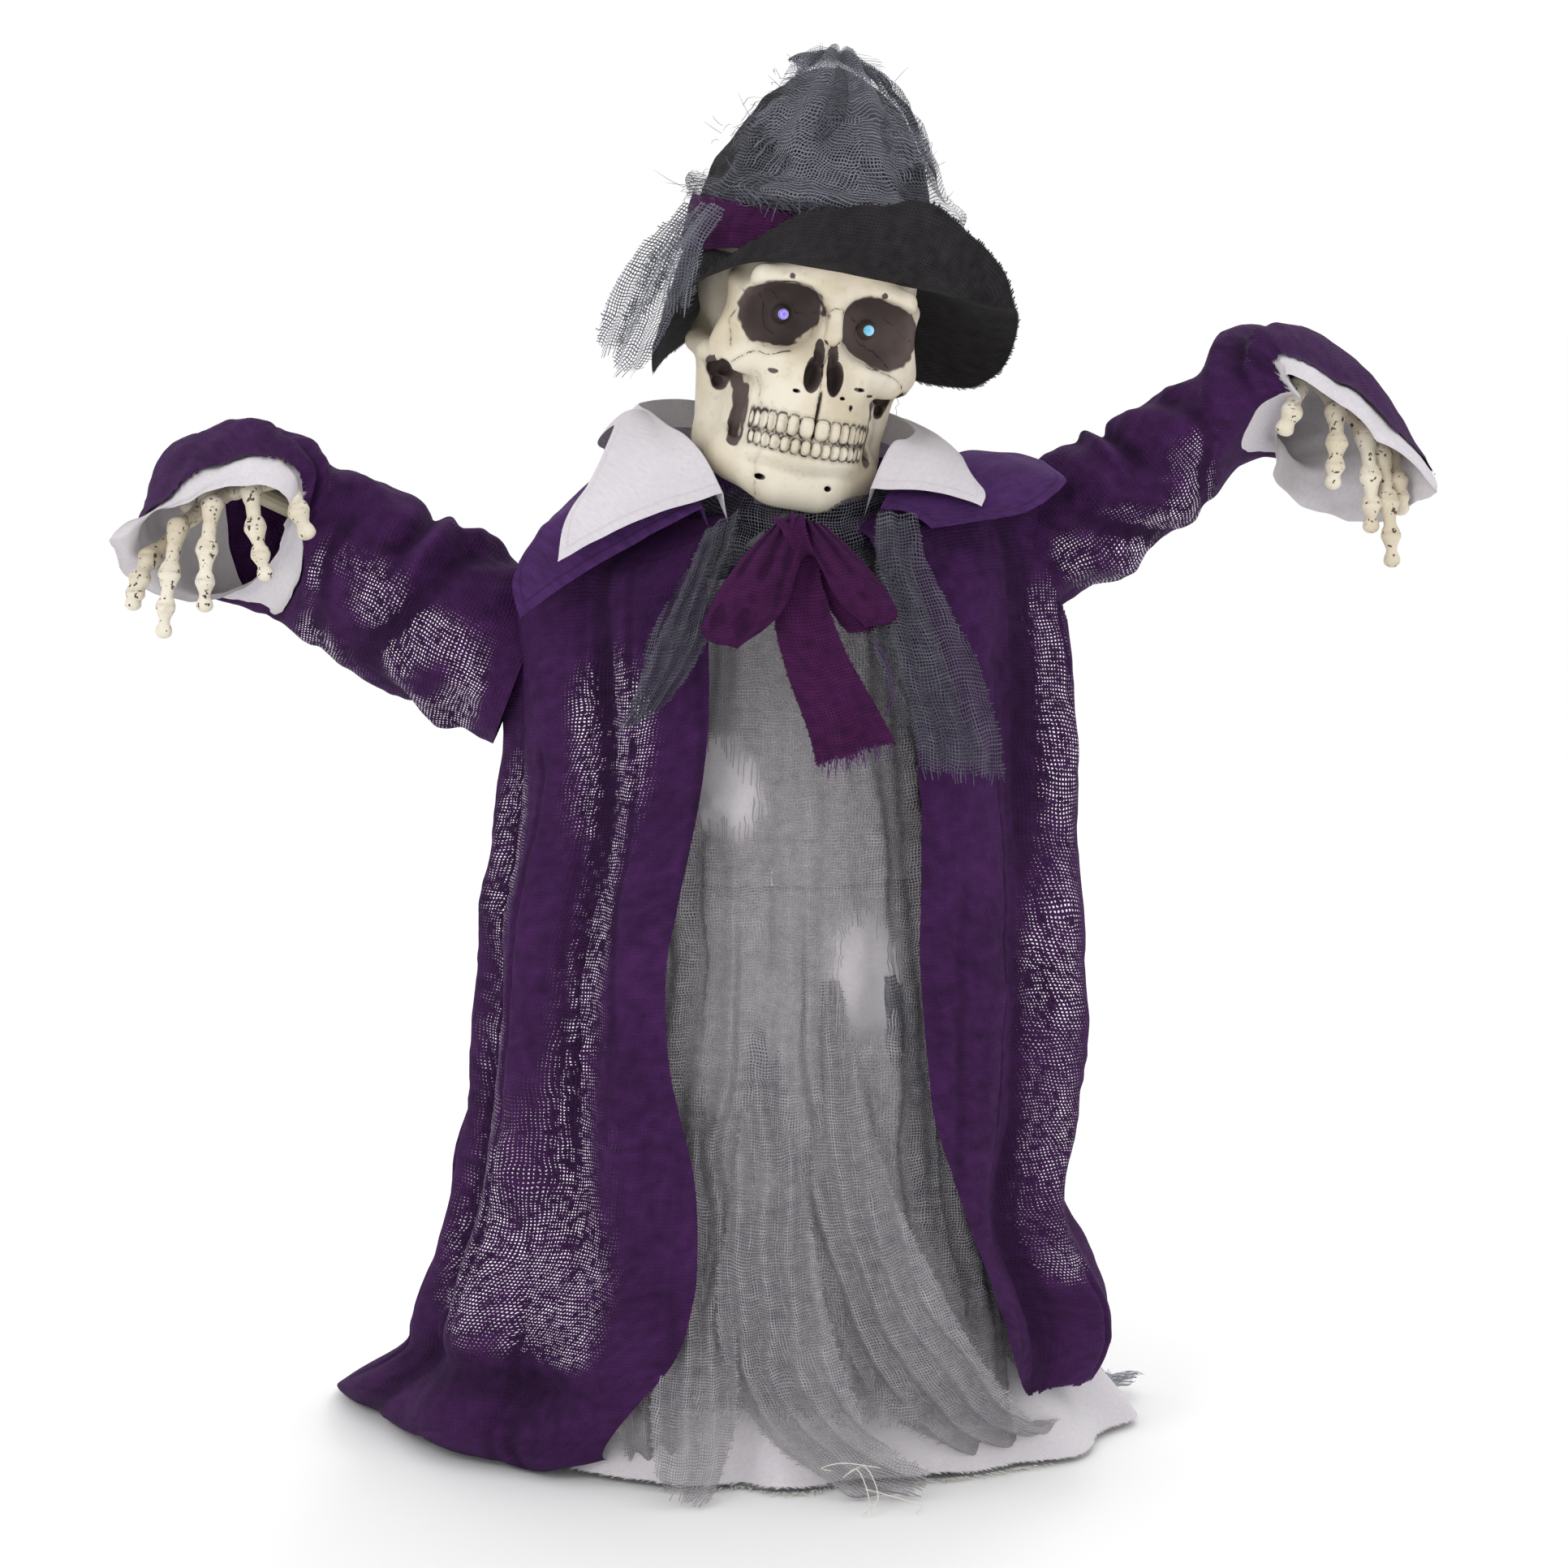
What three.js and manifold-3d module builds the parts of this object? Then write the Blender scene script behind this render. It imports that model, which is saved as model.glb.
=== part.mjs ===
// A battery-powered standing witch skeleton, about 0.93 m tall: a floor stand with a chest mechanism that
// rocks the shoulders one way while the neck tilts the other, a skull that turns, and loose cloth over it all.
// Units are millimetres. +Z is up, the figure faces -Y, and the origin is on the floor under the pole.
// Left and right are the figure's own, so its left side is at +X.
import * as THREE from "three";
import { mergeVertices } from "three/addons/utils/BufferGeometryUtils.js";
import Module from "manifold-3d";

const wasm = await Module();
wasm.setup();

// ---- driving dimensions ----
const GAP = 0.3; // between pieces that touch
const POLE_R = 12.5;
const POLE_WALL = 1.2;
const BASE_R = 105;
const BASE_T = 4;
const SOCKET_TOP = 60;
const LOWER_POLE_TOP = 230;
const UPPER_POLE_TOP = 470;
const COUPLER_HALF = 26;

const CHEST = { halfWidth: 62, front: -35, back: 30, bottom: 430, top: 606, wall: 3 };
const MODULE = 1.5;
const ROCKER_TEETH = 50;
const NECK_TEETH = 40;
const PINION_TEETH = 12;
const GEAR_FRONT = -27;
const GEAR_T = 6;
const ROCKER_Z = 560; // height of the shaft that the shoulders rock on
const NECK_Z = ROCKER_Z + (MODULE * (ROCKER_TEETH + NECK_TEETH)) / 2;
const PINION_Z = ROCKER_Z - (MODULE * (ROCKER_TEETH + PINION_TEETH)) / 2;
const SHAFT_R = 4;
const NECK_PIN_R = 3;

const ROCK = THREE.MathUtils.degToRad(-8.8); // the shoulders at rest: the left one is up
const NECK_TILT = (-ROCK * ROCKER_TEETH) / NECK_TEETH; // the gears tilt the neck the other way
const PINION_TURN = (-ROCK * ROCKER_TEETH) / PINION_TEETH;
const HEAD_YAW = THREE.MathUtils.degToRad(12); // the face at rest looks a little to its left
const HEAD_SHIFT = -13; // the neck post is cranked, so the skull turns beside the tilt pin

const SHOULDER_X = 150; // arm pivots, either side of the rocker shaft
const SHOULDER_RISE = 10;
const ARM_LENGTH = 235;
const ARM_R = 7;
const ARM_LIFT = { left: THREE.MathUtils.degToRad(26), right: THREE.MathUtils.degToRad(34) };
const HAND_ROLL = { left: THREE.MathUtils.degToRad(38), right: THREE.MathUtils.degToRad(16) };
// Sleeves are flattened tubes: how far the mouth reaches along the arm, how far the underside hangs,
// and how far the tip of the mouth drops.
const SLEEVE = {
  start: 30, front: 170, back: 280, above: 36, deep: 46, thick: 4,
  left: { below: 62, drop: 74 },
  right: { below: 80, drop: 36 },
};
const CUFF_INSET = 9;

const COAT = {
  centreY: 10, topHalfWidth: 190, topHalfDepth: 100, hemDepth: 160, hemLeft: 224, hemRight: 300,
  top: 450, thick: 3,
};

// ---- materials ----
const material = (color, roughness, metalness = 0) =>
  new THREE.MeshStandardMaterial({ color, roughness, metalness });
const STEEL = material(0x8c8f94, 0.4, 0.9);
const BLACK_PLASTIC = material(0x1c1c1e, 0.5);
const WHITE_PLASTIC = material(0xe6e3da, 0.5);
const BONE = material(0xd9cfb4, 0.6);
const PURPLE_CLOTH = material(0x3a1b46, 0.9);
const GREY_GAUZE = material(0x77757f, 0.95);
const WHITE_CLOTH = material(0xe8e4e2, 0.9);
const BLACK_CLOTH = material(0x1b191b, 0.9);
const BRASS = material(0xb08d4a, 0.35, 0.9);
const GREEN_BOARD = material(0x1f5a35, 0.5);
const LED_LENS = material(0x9db8ff, 0.15);
const BATTERY_WRAP = material(0x2b2b30, 0.35);

// ---- solids ----
function solidOf(geometry) {
  const bare = geometry.index ? geometry.toNonIndexed() : geometry.clone();
  bare.deleteAttribute("normal");
  bare.deleteAttribute("uv");
  const merged = mergeVertices(bare, 1e-3);
  return new wasm.Manifold(
    new wasm.Mesh({
      numProp: 3,
      vertProperties: new Float32Array(merged.attributes.position.array),
      triVerts: new Uint32Array(merged.index.array),
    }),
  );
}

function geometryOf(solid) {
  const mesh = solid.getMesh();
  const geometry = new THREE.BufferGeometry();
  geometry.setAttribute("position", new THREE.BufferAttribute(mesh.vertProperties, mesh.numProp));
  geometry.setIndex(new THREE.BufferAttribute(mesh.triVerts, 1));
  const flat = geometry.toNonIndexed();
  flat.computeVertexNormals();
  return flat;
}

const joined = (...geometries) => geometryOf(geometries.map(solidOf).reduce((a, b) => a.add(b)));
const cut = (geometry, ...tools) =>
  geometryOf(tools.map(solidOf).reduce((a, b) => a.subtract(b), solidOf(geometry)));
const common = (a, b) => geometryOf(solidOf(a).intersect(solidOf(b)));

// A box from its lowest to its highest corner.
function block(low, high) {
  const size = high.map((h, i) => h - low[i]);
  const centre = high.map((h, i) => (h + low[i]) / 2);
  return new THREE.BoxGeometry(...size).translate(...centre);
}

const alongZ = (radius, low, high, sides = 18, topRadius = radius) =>
  new THREE.CylinderGeometry(topRadius, radius, high - low, sides)
    .rotateX(Math.PI / 2)
    .translate(0, 0, (low + high) / 2);

const alongY = (radius, front, back, x, z, sides = 18) =>
  new THREE.CylinderGeometry(radius, radius, back - front, sides)
    .translate(0, (front + back) / 2, 0)
    .translate(x, 0, z);

// A ring or disc turned about Z from [radius, height] pairs that close on themselves or on the axis.
function turned(profile, sides = 18) {
  const points = profile.map(([r, z]) => new THREE.Vector2(r, z));
  return new THREE.LatheGeometry(points, sides).rotateX(Math.PI / 2);
}

const ellipsoid = (rx, ry, rz, x, y, z, around = 20, down = 14) =>
  new THREE.SphereGeometry(1, around, down).rotateX(Math.PI / 2).scale(rx, ry, rz).translate(x, y, z);

// A rounded bone between two points.
function bone(from, to, radius) {
  const a = new THREE.Vector3(...from);
  const b = new THREE.Vector3(...to);
  const turn = new THREE.Quaternion().setFromUnitVectors(
    new THREE.Vector3(0, 1, 0), b.clone().sub(a).normalize(),
  );
  return new THREE.CapsuleGeometry(radius, a.distanceTo(b), 1, 6)
    .applyQuaternion(turn)
    .translate(...a.add(b).multiplyScalar(0.5).toArray());
}

// A thin slab of cloth whose points place(u, v, inward) sets, for u and v from 0 to 1.
function sheet(across, down, thick, place) {
  const geometry = new THREE.BoxGeometry(1, 1, 1, across, 1, down);
  const at = geometry.attributes.position;
  for (let i = 0; i < at.count; i++) {
    const inward = (at.getY(i) + 0.5) * thick;
    at.setXYZ(i, ...place(at.getX(i) + 0.5, at.getZ(i) + 0.5, inward));
  }
  return geometry;
}

// ---- the scene graph ----
const figure = new THREE.Group();
const group = (parent, x, y, z) => {
  const made = new THREE.Group();
  made.position.set(x, y, z);
  parent.add(made);
  return made;
};
const add = (parent, name, geometry, finish) => {
  const mesh = new THREE.Mesh(geometry, finish);
  mesh.name = name;
  parent.add(mesh);
  return mesh;
};

// ---- stand ----
function stand() {
  const screwRing = 34;
  const screwAt = [90, 210, 330].map((d) => {
    const a = THREE.MathUtils.degToRad(d);
    return [screwRing * Math.cos(a), screwRing * Math.sin(a)];
  });
  const flangeTop = 12;
  const screwDepth = 2.2; // the screws end inside the plate
  const holes = (radius, low, high) =>
    screwAt.map(([x, y]) => alongZ(radius, low, high, 10).translate(x, y, 0));
  const plate = turned([[0, 0], [BASE_R, 0], [BASE_R, BASE_T - 1], [BASE_R - 1, BASE_T], [0, BASE_T]], 36);
  add(figure, "base_plate", cut(plate, ...holes(2.3, screwDepth - GAP, BASE_T + 1)), STEEL);
  const socket = turned([
    [0, BASE_T + GAP], [46, BASE_T + GAP], [46, 10], [44, flangeTop], [22, flangeTop], [17, 20], [17, SOCKET_TOP],
    [POLE_R + GAP, SOCKET_TOP], [POLE_R + GAP, 10], [0, 10],
  ]);
  add(figure, "pole_socket", cut(socket, ...holes(2.3, 0, 20)), BLACK_PLASTIC);
  screwAt.forEach(([x, y], i) => {
    const screw = turned([
      [0, screwDepth], [2, screwDepth], [2, flangeTop + GAP], [4.5, flangeTop + GAP],
      [4.5, flangeTop + 1.6], [3, flangeTop + 2.8], [0, flangeTop + 2.8],
    ], 10);
    add(figure, `socket_screw_${i + 1}`, screw.translate(x, y, 0), STEEL);
  });
  const tube = (low, high) =>
    turned([[POLE_R - POLE_WALL, low], [POLE_R, low], [POLE_R, high], [POLE_R - POLE_WALL, high],
      [POLE_R - POLE_WALL, low]]);
  add(figure, "lower_pole", tube(10 + GAP, LOWER_POLE_TOP), STEEL);
  add(figure, "upper_pole", tube(LOWER_POLE_TOP + GAP, UPPER_POLE_TOP), STEEL);
  const inside = POLE_R + GAP;
  add(figure, "pole_coupler", turned([
    [inside, LOWER_POLE_TOP - COUPLER_HALF], [inside + 2.5, LOWER_POLE_TOP - COUPLER_HALF],
    [inside + 3.5, LOWER_POLE_TOP], [inside + 2.5, LOWER_POLE_TOP + COUPLER_HALF],
    [inside, LOWER_POLE_TOP + COUPLER_HALF], [inside, LOWER_POLE_TOP - COUPLER_HALF],
  ]), BLACK_PLASTIC);
}

// ---- chest case, split at y = 0 ----
const BUTTON = { x: 30, z: 514, r: 6 };
const SLIDER = { x: -30, z: 514, halfWidth: 5, halfHeight: 3.5, travel: 4 };
const DOOR = { halfWidth: 31, bottom: 435, top: 493 };
const BUSH_R = 6.5;

function chestCase() {
  const { halfWidth: w, front, back, bottom, top, wall } = CHEST;
  const earTop = NECK_Z + 10;
  const ear = (low, high) =>
    joined(block([-13, low, top - wall], [13, high, NECK_Z]), alongY(13, low, high, 0, NECK_Z));
  const neckSlot = block([-26, front + wall + 0.4, top - 6], [26, -16, earTop + 20]);
  const poleHole = alongZ(POLE_R + GAP, bottom - 5, bottom + 10);

  let frontShell = cut(
    block([-w, front, bottom], [w, -GAP / 2, top]),
    block([-w + wall, front + wall, bottom + wall], [w - wall, 1, top - wall]),
  );
  const grille = [[0, 0], ...[0, 60, 120, 180, 240, 300].map((d) => {
    const a = THREE.MathUtils.degToRad(d);
    return [12 * Math.cos(a), 12 * Math.sin(a)];
  })].map(([x, z]) => alongY(2.5, front - 1, front + wall + 1, x, 477 + z, 8));
  frontShell = cut(
    joined(frontShell, ear(front, front + wall)), poleHole, neckSlot, ...grille,
    alongY(BUSH_R + GAP, front - 1, front + wall + 1, 0, ROCKER_Z),
    alongY(NECK_PIN_R + GAP, front - 1, front + wall + 1, 0, NECK_Z, 12),
  );
  add(figure, "chest_front_shell", frontShell, BLACK_PLASTIC);

  let backShell = cut(
    block([-w, GAP / 2, bottom], [w, back, top]),
    block([-w + wall, -1, bottom + wall], [w - wall, back - wall, top - wall]),
  );
  const slot = SLIDER.halfWidth + SLIDER.travel + 0.5;
  backShell = cut(
    joined(backShell, ear(16, 19)), poleHole,
    block([-20, -1, top - 5], [20, 15.5, top + 1]),
    alongY(BUSH_R + GAP, back - wall - 1, back + 1, 0, ROCKER_Z),
    alongY(NECK_PIN_R + GAP, 10, back, 0, NECK_Z, 12),
    alongY(BUTTON.r + 0.5, back - wall - 1, back + 1, BUTTON.x, BUTTON.z, 16),
    block([SLIDER.x - slot, back - wall - 1, SLIDER.z - 4.2], [SLIDER.x + slot, back + 1, SLIDER.z + 4.2]),
    block([-DOOR.halfWidth - 0.4, back - wall - 1, bottom - 1], [DOOR.halfWidth + 0.4, back + 1, DOOR.top + 0.4]),
  );
  add(figure, "chest_back_shell", backShell, BLACK_PLASTIC);

  const doorRib = block([-20, back - 0.6, 478], [20, back + 1, 482]);
  const doorPlate = block([-DOOR.halfWidth, back - wall + 0.4, bottom], [DOOR.halfWidth, back - 0.2, DOOR.top]);
  add(figure, "battery_door", joined(doorPlate, doorRib), BLACK_PLASTIC);
  const pinEnds = [front + wall - 2.6, 18.5];
  add(figure, "neck_pin", alongY(NECK_PIN_R, ...pinEnds, 0, NECK_Z, 16), STEEL);
  [["shaft_bush_front", front, front + 7], ["shaft_bush_back", back - 7, back + 1]].forEach(([name, a, b]) => {
    add(figure, name, cut(alongY(BUSH_R, a, b, 0, ROCKER_Z), alongY(SHAFT_R + 0.15, a - 1, b + 1, 0, ROCKER_Z)), BRASS);
  });
}

// ---- what the chest holds ----
function chestInside() {
  const batteryR = 6.6;
  const batteryY = 19.9;
  [-18, 0, 18].forEach((x, i) => {
    const cell = turned([[0, 0], [batteryR, 0], [batteryR, 47], [2.7, 47], [2.7, 49], [0, 49]], 14);
    add(figure, `battery_${i + 1}`, cell.translate(x, batteryY, 437), BATTERY_WRAP);
  });
  const strip = block([-26, 13.5, 486.6], [26, 26.5, 487.6]);
  const tabs = [-18, 18].map((x) => block([x - 3, 17, 487.3], [x + 3, 23, 492]));
  add(figure, "battery_contacts", joined(strip, ...tabs), BRASS);

  const speaker = new THREE.LatheGeometry([[0, 4], [9, 4], [20, -1], [23, -1], [23, -3], [21, -3], [10, 0],
    [0, 0]].map(([r, h]) => new THREE.Vector2(r, h)).reverse(), 20);
  const magnet = alongY(12, 3, 12, 0, 0, 16);
  add(figure, "speaker", joined(speaker, magnet).translate(0, CHEST.front + 6.8, 477), BLACK_PLASTIC);

  const board = block([-46, 15.4, 498], [46, 17, 536]);
  const chip = block([-8, 12.5, 508], [10, 15.6, 522]);
  const tact = block([BUTTON.x - 4, 16.8, BUTTON.z - 4], [BUTTON.x + 4, 22.2, BUTTON.z + 4]);
  const slideBody = block([SLIDER.x - 9, 16.8, SLIDER.z - 3], [SLIDER.x + 9, 21.5, SLIDER.z + 3]);
  add(figure, "circuit_board", joined(board, chip, tact, slideBody), GREEN_BOARD);

  const gearbox = block([-24, -19.5, 494], [18, 8, 534]);
  add(figure, "drive_gearbox", gearbox, WHITE_PLASTIC);
  const can = new THREE.CylinderGeometry(11, 11, 28, 18).rotateZ(Math.PI / 2).translate(-24.3 - 14, -5, 513);
  add(figure, "drive_motor", can, STEEL);

  const cap = joined(
    alongY(BUTTON.r, 25, 33, BUTTON.x, BUTTON.z, 16), alongY(BUTTON.r + 1.6, 24.9, 26.7, BUTTON.x, BUTTON.z, 16),
  );
  add(figure, "try_me_button", cap, material(0xb3261e, 0.4));
  const { x, z, halfWidth: w, halfHeight: h } = SLIDER;
  const knob = joined(
    block([x - w, 22, z - h], [x + w, 25, z + h]), block([x - 3, 24, z - h], [x + 3, 33, z + h]),
  );
  add(figure, "mode_slider", knob, WHITE_PLASTIC);
}

// ---- gears: involute flanks with a little backlash ----
const involute = (angle) => Math.tan(angle) - angle;
const PRESSURE = THREE.MathUtils.degToRad(20);

// An outline with its first tooth centred on +Z, teeth from index first to last, closed through a hub arc.
function gearOutline(teeth, first, last, hubRadius) {
  const pitch = (MODULE * teeth) / 2;
  const base = pitch * Math.cos(PRESSURE);
  const root = pitch - 1.3 * MODULE;
  const tip = pitch + 0.9 * MODULE;
  const halfAt = (r) =>
    Math.PI / (2 * teeth) - 0.09 / pitch + involute(PRESSURE) - involute(Math.acos(Math.min(1, base / r)));
  const flank = [root, pitch, tip].map((r) => [r, halfAt(Math.max(r, base))]);
  const points = [];
  const put = (r, angle) => points.push(new THREE.Vector2(r * Math.sin(angle), r * Math.cos(angle)));
  for (let i = first; i <= last; i++) {
    const middle = (2 * Math.PI * i) / teeth;
    flank.forEach(([r, half]) => put(r, middle - half));
    flank.slice().reverse().forEach(([r, half]) => put(r, middle + half));
  }
  if (last - first + 1 < teeth) {
    const from = (2 * Math.PI * (last + 0.5)) / teeth;
    const to = 2 * Math.PI + (2 * Math.PI * (first - 0.5)) / teeth;
    const steps = 10;
    for (let i = 0; i <= steps; i++) put(hubRadius, from + ((to - from) * i) / steps);
  }
  return new THREE.Shape(points.reverse());
}

// Extrudes an outline drawn in x and z so that it stands in the gear plane.
const upright = (shape, front, back) =>
  new THREE.ExtrudeGeometry(shape, { depth: back - front, bevelEnabled: false, curveSegments: 5 })
    .rotateX(Math.PI / 2)
    .translate(0, back, 0);

function drive() {
  const pinion = group(figure, 0, 0, PINION_Z);
  pinion.rotation.y = PINION_TURN;
  const half = Math.PI / PINION_TEETH; // puts a gap at the top, where the big gear's tooth stands
  const wheel = upright(gearOutline(PINION_TEETH, 0, PINION_TEETH - 1, 0), GEAR_FRONT, GEAR_FRONT + GEAR_T).rotateY(half);
  add(pinion, "drive_pinion", wheel, WHITE_PLASTIC);
}

// ---- shoulders: everything that rocks on the shaft, drawn level about the shaft ----
function shoulders() {
  const rocker = group(figure, 0, 0, ROCKER_Z);
  rocker.rotation.y = ROCK;
  const bore = alongY(SHAFT_R + GAP, -60, 60, 0, 0);
  const wheel = upright(gearOutline(ROCKER_TEETH, 0, ROCKER_TEETH - 1, 0), GEAR_FRONT, GEAR_FRONT + GEAR_T);
  add(rocker, "rocker_gear", cut(wheel, bore), WHITE_PLASTIC);
  add(rocker, "rocker_shaft", alongY(SHAFT_R, CHEST.front + 1, 50, 0, 0), STEEL);

  const half = 11;
  const armEnd = [SHOULDER_X, SHOULDER_RISE];
  const outline = new THREE.Shape();
  outline.moveTo(0, -18);
  outline.quadraticCurveTo(70, -16, armEnd[0], armEnd[1] - half);
  outline.absarc(armEnd[0], armEnd[1], half, -Math.PI / 2, Math.PI / 2, false);
  outline.quadraticCurveTo(60, 26, 0, 22);
  outline.quadraticCurveTo(-60, 26, -armEnd[0], armEnd[1] + half);
  outline.absarc(-armEnd[0], armEnd[1], half, Math.PI / 2, (3 * Math.PI) / 2, false);
  outline.quadraticCurveTo(-70, -16, 0, -18);
  const boltHoles = [-1, 1].map((s) => alongY(3.4, 20, 60, s * SHOULDER_X, SHOULDER_RISE, 12));
  add(rocker, "shoulder_beam", cut(upright(outline, 33, 44), bore, ...boltHoles), WHITE_PLASTIC);

  for (const side of ["left", "right"]) arm(rocker, side);
  coatYoke(rocker);
}

// One arm on its bolt, drawn pointing away from the body along +X and mirrored for the right one.
function arm(rocker, side) {
  const s = side === "left" ? 1 : -1;
  const pivot = group(rocker, s * SHOULDER_X, 0, SHOULDER_RISE);
  const bolt = joined(alongY(3, 12, 48, 0, 0, 12), alongY(6, 9, 13, 0, 0, 12), alongY(7, 48 - 0.5, 53, 0, 0, 6));
  add(pivot, `arm_bolt_${side}`, bolt, STEEL);

  const lug = new THREE.CylinderGeometry(11, 11, 13, 18).translate(0, 25.5, 0);
  const rodLength = ARM_LENGTH - 14;
  const limb = new THREE.CylinderGeometry(ARM_R, ARM_R, rodLength, 14)
    .rotateZ(-Math.PI / 2)
    .translate((s * rodLength) / 2, 25.5, 0);
  const lifted = group(pivot, 0, 0, 0);
  lifted.rotation.y = -s * ARM_LIFT[side];
  add(lifted, `arm_rod_${side}`, cut(joined(lug, limb), alongY(3.4, 0, 40, 0, 0, 12)), BONE);
  const wrist = group(lifted, s * ARM_LENGTH, 25.5, 0);
  wrist.rotation.y = s * (ARM_LIFT[side] + HAND_ROLL[side]) - ROCK;
  add(wrist, `hand_${side}`, hand(s), BONE);
  sleeves(lifted, side, s);
}

// A skeleton hand held palm down, its fingers hanging from the knuckles; s mirrors it.
function hand(s) {
  const wristBall = ellipsoid(9, 10, 9, 0, 0, 0, 8, 6);
  const bones = [wristBall, bone([0, -4, 0], [12, -22, -3], 10), bone([2, -12, -2], [26, -24, -6], 9)];
  const lean = [[0.02, -0.42, -0.9], [0.06, -0.12, -0.99], [0.08, 0.16, -0.98]];
  const chain = (start, lengths, radii) => {
    let from = start;
    lengths.forEach((length, i) => {
      const to = from.map((c, k) => c + lean[i][k] * length);
      bones.push(bone(from, to, radii[i]));
      from = to;
    });
  };
  const fingers = [
    { knuckle: [-16, -68, -4], lengths: [28, 18, 14] },
    { knuckle: [10, -72, -5], lengths: [32, 21, 16] },
    { knuckle: [33, -68, -8], lengths: [30, 20, 16] },
    { knuckle: [51, -58, -13], lengths: [24, 16, 13] },
  ];
  for (const { knuckle, lengths } of fingers) {
    bones.push(bone([6 + knuckle[0] * 0.4, -24, -4 + knuckle[2] * 0.2], knuckle, 5.5));
    chain(knuckle, lengths, [5.4, 4.7, 4]);
  }
  bones.push(bone([-4, -14, -2], [-34, -42, -6], 5.5));
  chain([-34, -42, -6], [22, 18], [5, 4.4]);
  const whole = joined(...bones);
  return s > 0 ? whole : geometryOf(solidOf(whole).mirror([1, 0, 0]));
}

// ---- cloth on the arms ----
// A tube of cloth whose points place(t, up, deep, inward) sets: t runs along it, and up and deep go round it.
function clothTube(rings, sides, thick, place) {
  const steps = Array.from({ length: rings + 1 }, (_, i) => i / rings);
  const profile = [...steps.map((t) => [1, t]), ...steps.map((t) => [0.5, t]).reverse(), [1, 0]];
  const tube = new THREE.LatheGeometry(profile.map(([r, t]) => new THREE.Vector2(r, t)), sides);
  const at = tube.attributes.position;
  for (let i = 0; i < at.count; i++) {
    const r = Math.hypot(at.getX(i), at.getZ(i));
    const inward = r > 0.75 ? 0 : thick;
    at.setXYZ(i, ...place(at.getY(i), at.getX(i) / r, at.getZ(i) / r, inward));
  }
  return tube;
}

function sleeves(lifted, side, s) {
  const { start, front, back, above, deep, thick } = SLEEVE;
  const { below, drop } = SLEEVE[side];
  const place = (from, to, inset) => (t, up, depth, inward) => {
    const along = fromTo(from, to, t);
    const reach = fromTo(front, back, (depth + 1) / 2) - start;
    const thinner = inset + inward;
    const sag = drop * Math.max(0, (along - 0.7) / 0.3) ** 2 * Math.max(0, depth) ** 2;
    const height = up * ((up > 0 ? above : below) - thinner) + Math.sin(along * 9) * 3;
    return [s * (start + along * reach), 19 + depth * (deep - thinner), height - sag];
  };
  // The mirrored arm turns its tube round so that its faces still point outwards.
  const tube = (rings, from, to, inset) => {
    const at = place(from, to, inset);
    return clothTube(rings, 14, thick, (t, up, deepness, inward) => at(t, up, s * deepness, inward));
  };
  add(lifted, `sleeve_${side}`, tube(6, 0, 1, 0), PURPLE_CLOTH);
  add(lifted, `cuff_${side}`, tube(4, 0.74, 1.025, CUFF_INSET), WHITE_CLOTH);
}

const fromTo = (a, b, t) => a + (b - a) * t;

// ---- coat top and collars, which hang on the shoulder beam ----
const around = (angle, rx, ry, cy) => [rx * Math.sin(angle), cy - ry * Math.cos(angle)];
const FRONT_GAP = THREE.MathUtils.degToRad(28); // each side of the middle, where the coat stays open

function wrap(across, down, thick, low, high, first, last, size) {
  return sheet(across, down, thick, (u, v, inward) => {
    const z = fromTo(low, high, v);
    const [rx, ry, lift = 0] = size(v, fromTo(first, last, u));
    const [x, y] = around(fromTo(first, last, u), rx - inward, ry - inward, COAT.centreY);
    return [x, y, z + lift];
  });
}

function coatYoke(rocker) {
  const open = FRONT_GAP;
  const size = (v) => [fromTo(190, 92, v ** 5), fromTo(98, 66, v ** 5)];
  const armholes = [-1, 1].map((s) => block([s * 160 - 42, -52, -90], [s * 160 + 42, 66, 40]));
  const yoke = wrap(20, 5, 4, -72, 48, open, 2 * Math.PI - open, size);
  add(rocker, "coat_yoke", cut(yoke, ...armholes), PURPLE_CLOTH);

  const collar = (name, depth, inner, outer, drop, lift, finish) => {
    const made = sheet(18, 2, 3, (u, v, inward) => {
      const angle = fromTo(open * 1.2, 2 * Math.PI - open * 1.2, u);
      const [x, y] = around(angle, fromTo(outer[0], inner[0], v), fromTo(outer[1], inner[1], v), COAT.centreY);
      return [x, y, lift + depth - inward - drop * (1 - v) ** 1.3];
    });
    add(rocker, name, made, finish);
  };
  collar("coat_collar", 0, [100, 76], [152, 96], 22, 62, PURPLE_CLOTH);
  collar("shirt_collar", 0, [100, 76], [136, 94], 12, 68, WHITE_CLOTH);
}

// ---- coat below the chest, dress and lining, which hang still round the stand ----
function coatSize(z, angle) {
  const { top, topHalfWidth: w, topHalfDepth: d, hemDepth, hemLeft, hemRight } = COAT;
  const flare = (1 - z / top) ** 2.2;
  const side = Math.sin(angle) > 0 ? hemLeft : hemRight;
  return [w + (side - w) * flare, d + (hemDepth - d) * flare];
}

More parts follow.
